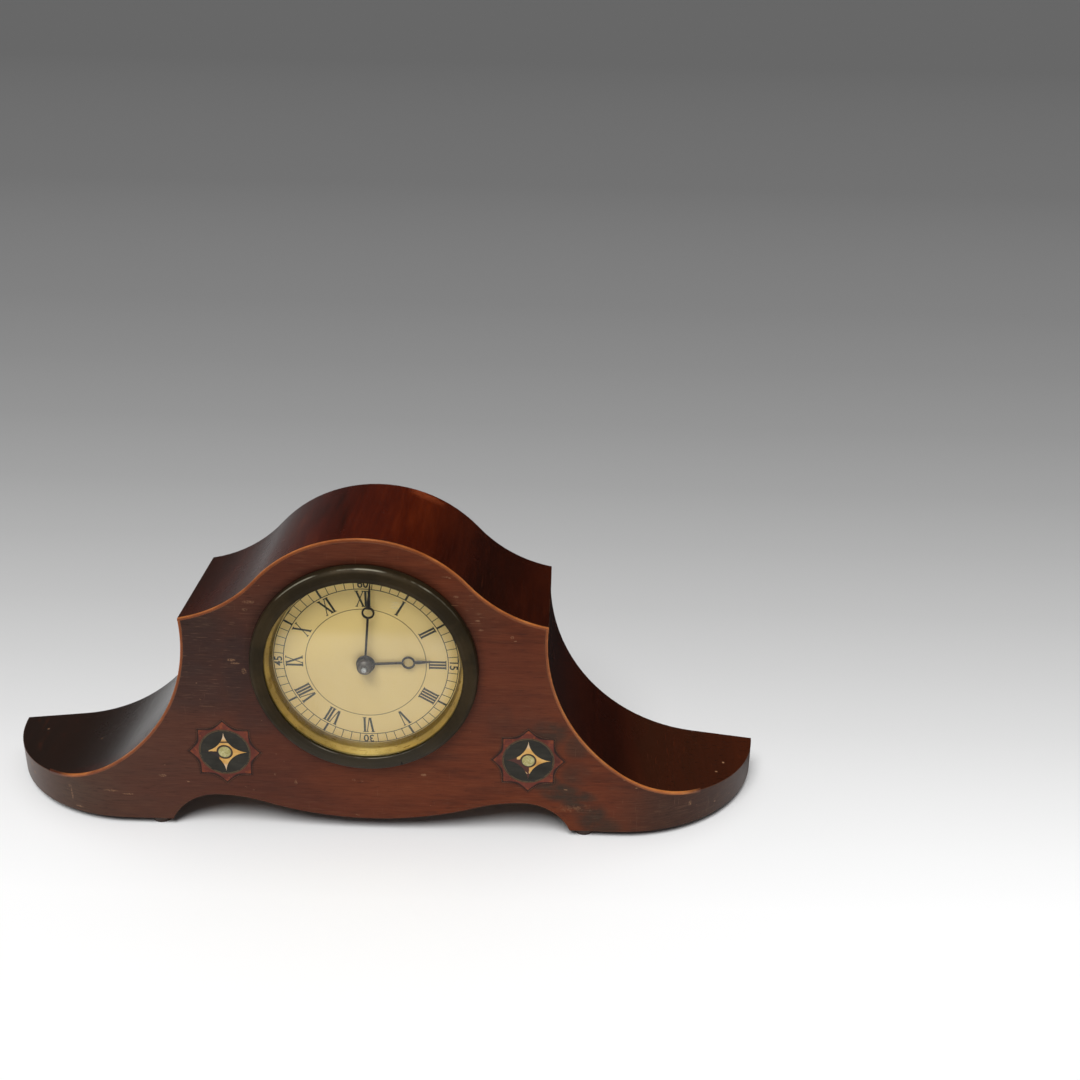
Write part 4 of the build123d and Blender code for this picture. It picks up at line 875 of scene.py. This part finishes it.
dialFinish("dial_enamel")
glassFinish("glass")
for name, (fresh, worn) in inkLook.items():
    printFinish(name, fresh, worn)
print("dial finishes made")

slotOf = {row["node"]: row["material_slot"] for row in frame["record"]["subparts"]}
for nodeName, obj in nodes.items():
    finish = finishes[slotOf[nodeName]]
    if nodeName == "hand_hub":
        finish = finishes["hub_steel"]
    if nodeName == "back_board":
        finish = finishes["back_veneer"]
    for slot in obj.material_slots:
        slot.material = finish
print("finishes set on the nodes")


def newPiece(name, bm, finish, body):
    mesh = bpy.data.meshes.new(name)
    bm.to_mesh(mesh)
    bm.free()
    piece = bpy.data.objects.new(name, mesh)
    bpy.context.scene.collection.objects.link(piece)
    mesh.materials.append(finishes[finish])
    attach(piece, body)


# Printed dial: rings, minute track, Roman hours and quarter figures
printLook = {
    "lift": 0.04 * mm,
    "ringSteps": 180,
    "innerRing": (33.0, 33.4),
    "trackInner": (45.1, 45.55),
    "trackOuter": (50.5, 50.95),
    "tick": 0.42,
    "fiveTick": 1.2,
    "hourLow": 34.9,
    "hourHigh": 44.0,
    "thick": 1.22,
    "thin": 0.55,
    "serif": 0.5,
    "serifReach": 0.42,
    "letterGap": 0.8,
    "letterWidth": {"I": 1.8, "V": 4.2, "X": 4.4},
    "footOfV": (-0.1, 0.35),
    "headOfV": 0.1,
    "figureSize": 4.6 * 1.35,
    "figureBold": 0.12,
    "figureGap": 3.4,
}
toDial = Matrix.Translation((0, dialY - printLook["lift"], dialZ))
toDial = toDial @ Matrix.Rotation(math.radians(90), 4, "X")


def onDial(angle):  # local plane of the dial, turned clockwise from twelve
    return toDial @ Matrix.Rotation(-math.radians(angle), 4, "Z")


def bar(bm, place, low, high, width):  # slanted bar with level ends, in millimetres
    lean = Matrix((
        (width, high[0] - low[0], 0, (low[0] + high[0]) / 2),
        (0, high[1] - low[1], 0, (low[1] + high[1]) / 2),
        (0, 0, 1, 0),
        (0, 0, 0, 1),
    ))
    shape = place @ Matrix.Scale(mm, 4) @ lean
    bmesh.ops.create_grid(bm, x_segments=1, y_segments=1, size=0.5, matrix=shape)


def ring(bm, inner, outer):
    ends = [bm.verts.new(toDial @ Vector((r * mm, 0, 0))) for r in (inner, outer)]
    edge = bm.edges.new(ends)
    centre = toDial @ Vector((0, 0, 0))
    bmesh.ops.spin(
        bm, geom=[*ends, edge], cent=centre, axis=(0, 1, 0), angle=2 * math.pi,
        steps=printLook["ringSteps"], use_merge=True,
    )


def letter(bm, place, sign, x):
    look = printLook
    low, high = look["hourLow"], look["hourHigh"]
    thick, thin, serif = look["thick"], look["thin"], look["serif"]
    half = (look["letterWidth"][sign] - look["letterGap"]) / 2
    if sign == "I":
        strokes = [(x, x, thick)]
    elif sign == "V":
        left, right = look["footOfV"]
        strokes = [(x + left, x - half + look["headOfV"], thick), (x + right, x + half, thin)]
    else:
        strokes = [(x + half, x - half, thick), (x - half, x + half, thin)]
    for foot, head, width in strokes:
        bar(bm, place, (foot, low), (head, high), width)
        for at, z in ((foot, low), (head, high)):
            if sign == "V" and z == low:
                continue
            wide = width + 2 * look["serifReach"]
            bar(bm, place, (at, z - serif / 2), (at, z + serif / 2), wide)


hours = ["XII", "I", "II", "III", "IIII", "V", "VI", "VII", "VIII", "IX", "X", "XI"]
ink = bmesh.new()
for i, word in enumerate(hours):
    widths = [printLook["letterWidth"][sign] for sign in word]
    x = -sum(widths) / 2
    for sign, wide in zip(word, widths):
        letter(ink, onDial(30 * i), sign, x + wide / 2)
        x += wide
trackLow, trackHigh = printLook["trackInner"][1], printLook["trackOuter"][0]
for minute in range(60):
    angle = 6 * minute
    near = min(angle % 90, 90 - angle % 90)
    if near < printLook["figureGap"]:
        continue
    width = printLook["fiveTick"] if minute % 5 == 0 else printLook["tick"]
    bar(ink, onDial(angle), (0, trackLow), (0, trackHigh), width)
ring(ink, *printLook["trackInner"])
ring(ink, *printLook["trackOuter"])
bmesh.ops.recalc_face_normals(ink, faces=ink.faces)
newPiece("dialPrint", ink, "dial_ink", "case")

fineLine = bmesh.new()
ring(fineLine, *printLook["innerRing"])
bmesh.ops.recalc_face_normals(fineLine, faces=fineLine.faces)
newPiece("dialInnerRing", fineLine, "dial_line", "case")


def figure(text, angle):  # small figure in the minute track, feet towards the middle
    curve = bpy.data.curves.new("figure" + text, "FONT")
    curve.body = text
    curve.align_x = "CENTER"
    curve.align_y = "CENTER"
    curve.size = printLook["figureSize"] * mm
    curve.offset = printLook["figureBold"] * mm
    holder = bpy.data.objects.new("figure" + text, curve)
    bpy.context.scene.collection.objects.link(holder)
    bpy.context.view_layer.update()
    graph = bpy.context.evaluated_depsgraph_get()
    mesh = bpy.data.meshes.new_from_object(holder.evaluated_get(graph))
    bpy.data.objects.remove(holder)
    middle = (trackLow + trackHigh) / 2
    mesh.transform(onDial(angle) @ Matrix.Translation((0, middle * mm, 0)))
    bm = bmesh.new()
    bm.from_mesh(mesh)
    newPiece("dialFigure" + text, bm, "dial_ink", "case")


for text, angle in (("60", 0), ("15", 90), ("30", 180), ("45", 270)):
    figure(text, angle)
print("dial print made")

# Slotted screw heads on the movement and the back ring
screwLook = {"segments": 24, "bevel": 0.12, "slot": 0.28, "slotDepth": 0.45}


def screw(bm, x, y, z, radius, height, turn):  # head that stands back from depth y
    look = screwLook
    local = bmesh.new()
    bmesh.ops.create_cone(
        local, cap_ends=True, segments=look["segments"],
        radius1=radius, radius2=radius, depth=height,
    )
    rim = [e for e in local.edges if all(v.co.z > 0 for v in e.verts)]
    bmesh.ops.bevel(
        local, geom=rim, offset=look["bevel"] * radius, segments=2, profile=0.5,
        affect="EDGES", material=-1,
    )
    halfSlot = look["slot"] * radius / 2
    for x0 in (-halfSlot, halfSlot):
        bmesh.ops.bisect_plane(
            local,
            geom=[*local.verts, *local.edges, *local.faces],
            plane_co=(x0, 0, 0),
            plane_no=(1, 0, 0),
        )
    local.normal_update()
    head = [f for f in local.faces if f.normal.z > 0.9]
    strip = [f for f in head if abs(f.calc_center_median().x) < halfSlot]
    cut = bmesh.ops.extrude_face_region(local, geom=strip)
    bmesh.ops.delete(local, geom=strip, context="FACES")
    sunk = [v for v in cut["geom"] if isinstance(v, bmesh.types.BMVert)]
    bmesh.ops.translate(local, verts=sunk, vec=(0, 0, -look["slotDepth"] * height))
    bmesh.ops.recalc_face_normals(local, faces=local.faces)
    spin = Matrix.Rotation(math.radians(-90), 4, "X") @ Matrix.Rotation(math.radians(turn), 4, "Z")
    place = Matrix.Translation((x, y + height / 2, z)) @ spin
    bmesh.ops.transform(local, matrix=place, verts=local.verts)
    mesh = bpy.data.meshes.new("screw")
    local.to_mesh(mesh)
    local.free()
    bm.from_mesh(mesh)
    bpy.data.meshes.remove(mesh)


# size: radius and height; turn: angle of the first slot and step to the next
plateScrewLook = {"inset": 3.0 * mm, "size": (2.6 * mm, 1.3 * mm), "turn": (25, 50)}
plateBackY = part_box("back_plate")[1].y
pillarLow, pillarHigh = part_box("plate_pillars")
inset = plateScrewLook["inset"]
pillarX = pillarHigh.x - inset
pillarZ = [pillarLow.z + inset, pillarHigh.z - inset]
firstTurn, nextTurn = plateScrewLook["turn"]
plateScrews = bmesh.new()
for i, (x, z) in enumerate((x, z) for x in (-pillarX, pillarX) for z in pillarZ):
    screw(plateScrews, x, plateBackY, z, *plateScrewLook["size"], firstTurn + nextTurn * i)
newPiece("plateScrews", plateScrews, "steel", "case")

ringScrewLook = {
    "faceY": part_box("back_ring")[0].y + 5.5 * mm, "reach": 57.9 * mm,
    "size": (1.5 * mm, 0.7 * mm), "turn": (17, 63), "angles": (30, 90, 150, 210, 270, 330),
}
firstTurn, nextTurn = ringScrewLook["turn"]
ringScrews = bmesh.new()
for i, angle in enumerate(ringScrewLook["angles"]):
    x = ringScrewLook["reach"] * math.cos(math.radians(angle))
    z = dialZ + ringScrewLook["reach"] * math.sin(math.radians(angle))
    turn = firstTurn + nextTurn * i
    screw(ringScrews, x, ringScrewLook["faceY"], z, *ringScrewLook["size"], turn)
newPiece("backRingScrews", ringScrews, "door_brass", "case")
print("screws made")

# Camera at the photograph's viewing angle
cameraLook = {
    "place": (0.1075, frontY - 0.6286, 0.4689),
    "forward": (-0.0190, 0.9119, -0.4099),
    "roll": 1.008,
    "lens": 44.31,
    "sensor": 36.0,
    "near": 0.01,
}
camera = bpy.data.objects.new("camera", bpy.data.cameras.new("camera"))
bpy.context.scene.collection.objects.link(camera)
camera.data.lens = cameraLook["lens"]
camera.data.sensor_width = cameraLook["sensor"]
camera.data.clip_start = cameraLook["near"]
aim = Vector(cameraLook["forward"]).to_track_quat("-Z", "Y").to_matrix().to_4x4()
roll = Matrix.Rotation(math.radians(cameraLook["roll"]), 4, "Z")
camera.matrix_world = Matrix.Translation(cameraLook["place"]) @ aim @ roll
bpy.context.scene.camera = camera

# Pale floor that darkens away from the front, and soft studio light
floorLook = {
    "half": 40.0,
    "mirrorEnd": (-0.297, -0.273),  # the polish reflects hardly any floor in front of this
    "mirrorShare": (0.06, 0.94),
    "sideFrom": (0.055, 0.095),  # nor any to the right of this
    "sideBehind": (0.01, 0.06),  # and behind this
    "sideDark": 0.97,
    "stops": (
        (-0.30, 0.96), (-0.10, 0.93), (-0.05, 0.87), (0.01, 0.78), (0.08, 0.67),
        (0.16, 0.575), (0.25, 0.485), (0.37, 0.40), (0.50, 0.33), (0.68, 0.272),
        (0.90, 0.232), (1.19, 0.20), (2.2, 0.152), (5.3, 0.124),
    ),
}
floorMesh = bmesh.new()
bmesh.ops.create_grid(floorMesh, x_segments=1, y_segments=1, size=floorLook["half"])
floorData = bpy.data.meshes.new("floor")
floorMesh.to_mesh(floorData)
floorMesh.free()
floor = bpy.data.objects.new("floor", floorData)
bpy.context.scene.collection.objects.link(floor)
paper = newFinish("floor_paper")
floorX, floorY, _ = paper.axes()
stops = floorLook["stops"]
level = stops[0][1]
for (y0, v0), (y1, v1) in zip(stops, stops[1:]):
    links = {"Value": floorY, "From Min": y0, "From Max": y1, "To Min": 0.0, "To Max": v1 - v0}
    level = level + paper.put("ShaderNodeMapRange", {}, links)
least, rest = floorLook["mirrorShare"]
mirrorPart = least + rest * paper.step(floorY, *floorLook["mirrorEnd"])
rightPart = paper.step(floorX, *floorLook["sideFrom"])
rightPart = rightPart * paper.step(floorY, *floorLook["sideBehind"])
mirrored = level * mirrorPart * (1 - floorLook["sideDark"] * rightPart)
glossyRay = paper.ray("Is Glossy Ray")
level = level * (1 - glossyRay) + mirrored * glossyRay
grey = paper.put("ShaderNodeCombineColor", {}, {0: level, 1: level, 2: level})
paper.close(paper.surface(Base_Color=grey, Roughness=0.9, Specular_IOR_Level=0.0))
floorData.materials.append(finishes["floor_paper"])

# soft lamps: a key from the front left and one from above
lamps = {
    "key": {"from": (-0.22, -0.68, 1.22), "spread": 36.0, "strength": 2.58},
    "overhead": {"from": (0.0, 0.05, 1.0), "spread": 70.0, "strength": 0.74},
}
for name, look in lamps.items():
    data = bpy.data.lights.new(name, "SUN")
    data.energy = look["strength"]
    data.angle = math.radians(look["spread"])
    lamp = bpy.data.objects.new(name, data)
    bpy.context.scene.collection.objects.link(lamp)
    lamp.matrix_world = (-Vector(look["from"])).to_track_quat("-Z", "Y").to_matrix().to_4x4()

# surroundings: soft light from all sides, a dim backdrop in reflections, pale for the camera
studioLook = {
    "diffuse": 0.10, "fill": 0.85, "horizon": 0.13, "high": 0.012, "front": 0.30, "pale": 0.98,
    "riseTo": 0.36, "fillTop": (0.2, 0.5), "behind": (-0.2, 0.3), "right": (-0.04, 0.08),
    "rightDark": 0.9,
}
world = bpy.data.worlds.new("studio")
bpy.context.scene.world = world
world.use_nodes = True
sky = Graph(world.node_tree)
lookX, lookY, lookZ = sky.axes(sky.put("ShaderNodeTexCoord", {}, {}, "Generated"))
rise = sky.step(lookZ, 0.0, studioLook["riseTo"])
behind = sky.step(lookY, *studioLook["behind"])
rightPart = studioLook["rightDark"] * sky.step(lookX, *studioLook["right"])
backdrop = studioLook["horizon"] * (1 - rise) + studioLook["high"] * rise
mirrored = backdrop * (1 - rightPart) * behind + studioLook["front"] * (1 - behind)
seen = studioLook["horizon"] * behind + studioLook["pale"] * (1 - behind)
low = 1 - sky.step(lookZ, *studioLook["fillTop"])
soft = studioLook["diffuse"] + studioLook["fill"] * behind * low
glossyRay = sky.ray("Is Glossy Ray")
cameraRay = sky.ray("Is Camera Ray")
level = soft * (1 - glossyRay) * (1 - cameraRay) + mirrored * glossyRay + seen * cameraRay
links = {"Color": (1.0, 1.0, 1.0, 1.0), "Strength": level}
background = sky.put("ShaderNodeBackground", {}, links)
sky.put("ShaderNodeOutputWorld", {}, {"Surface": background})
bpy.context.scene.view_settings.view_transform = "Standard"
print("camera, floor and light set")
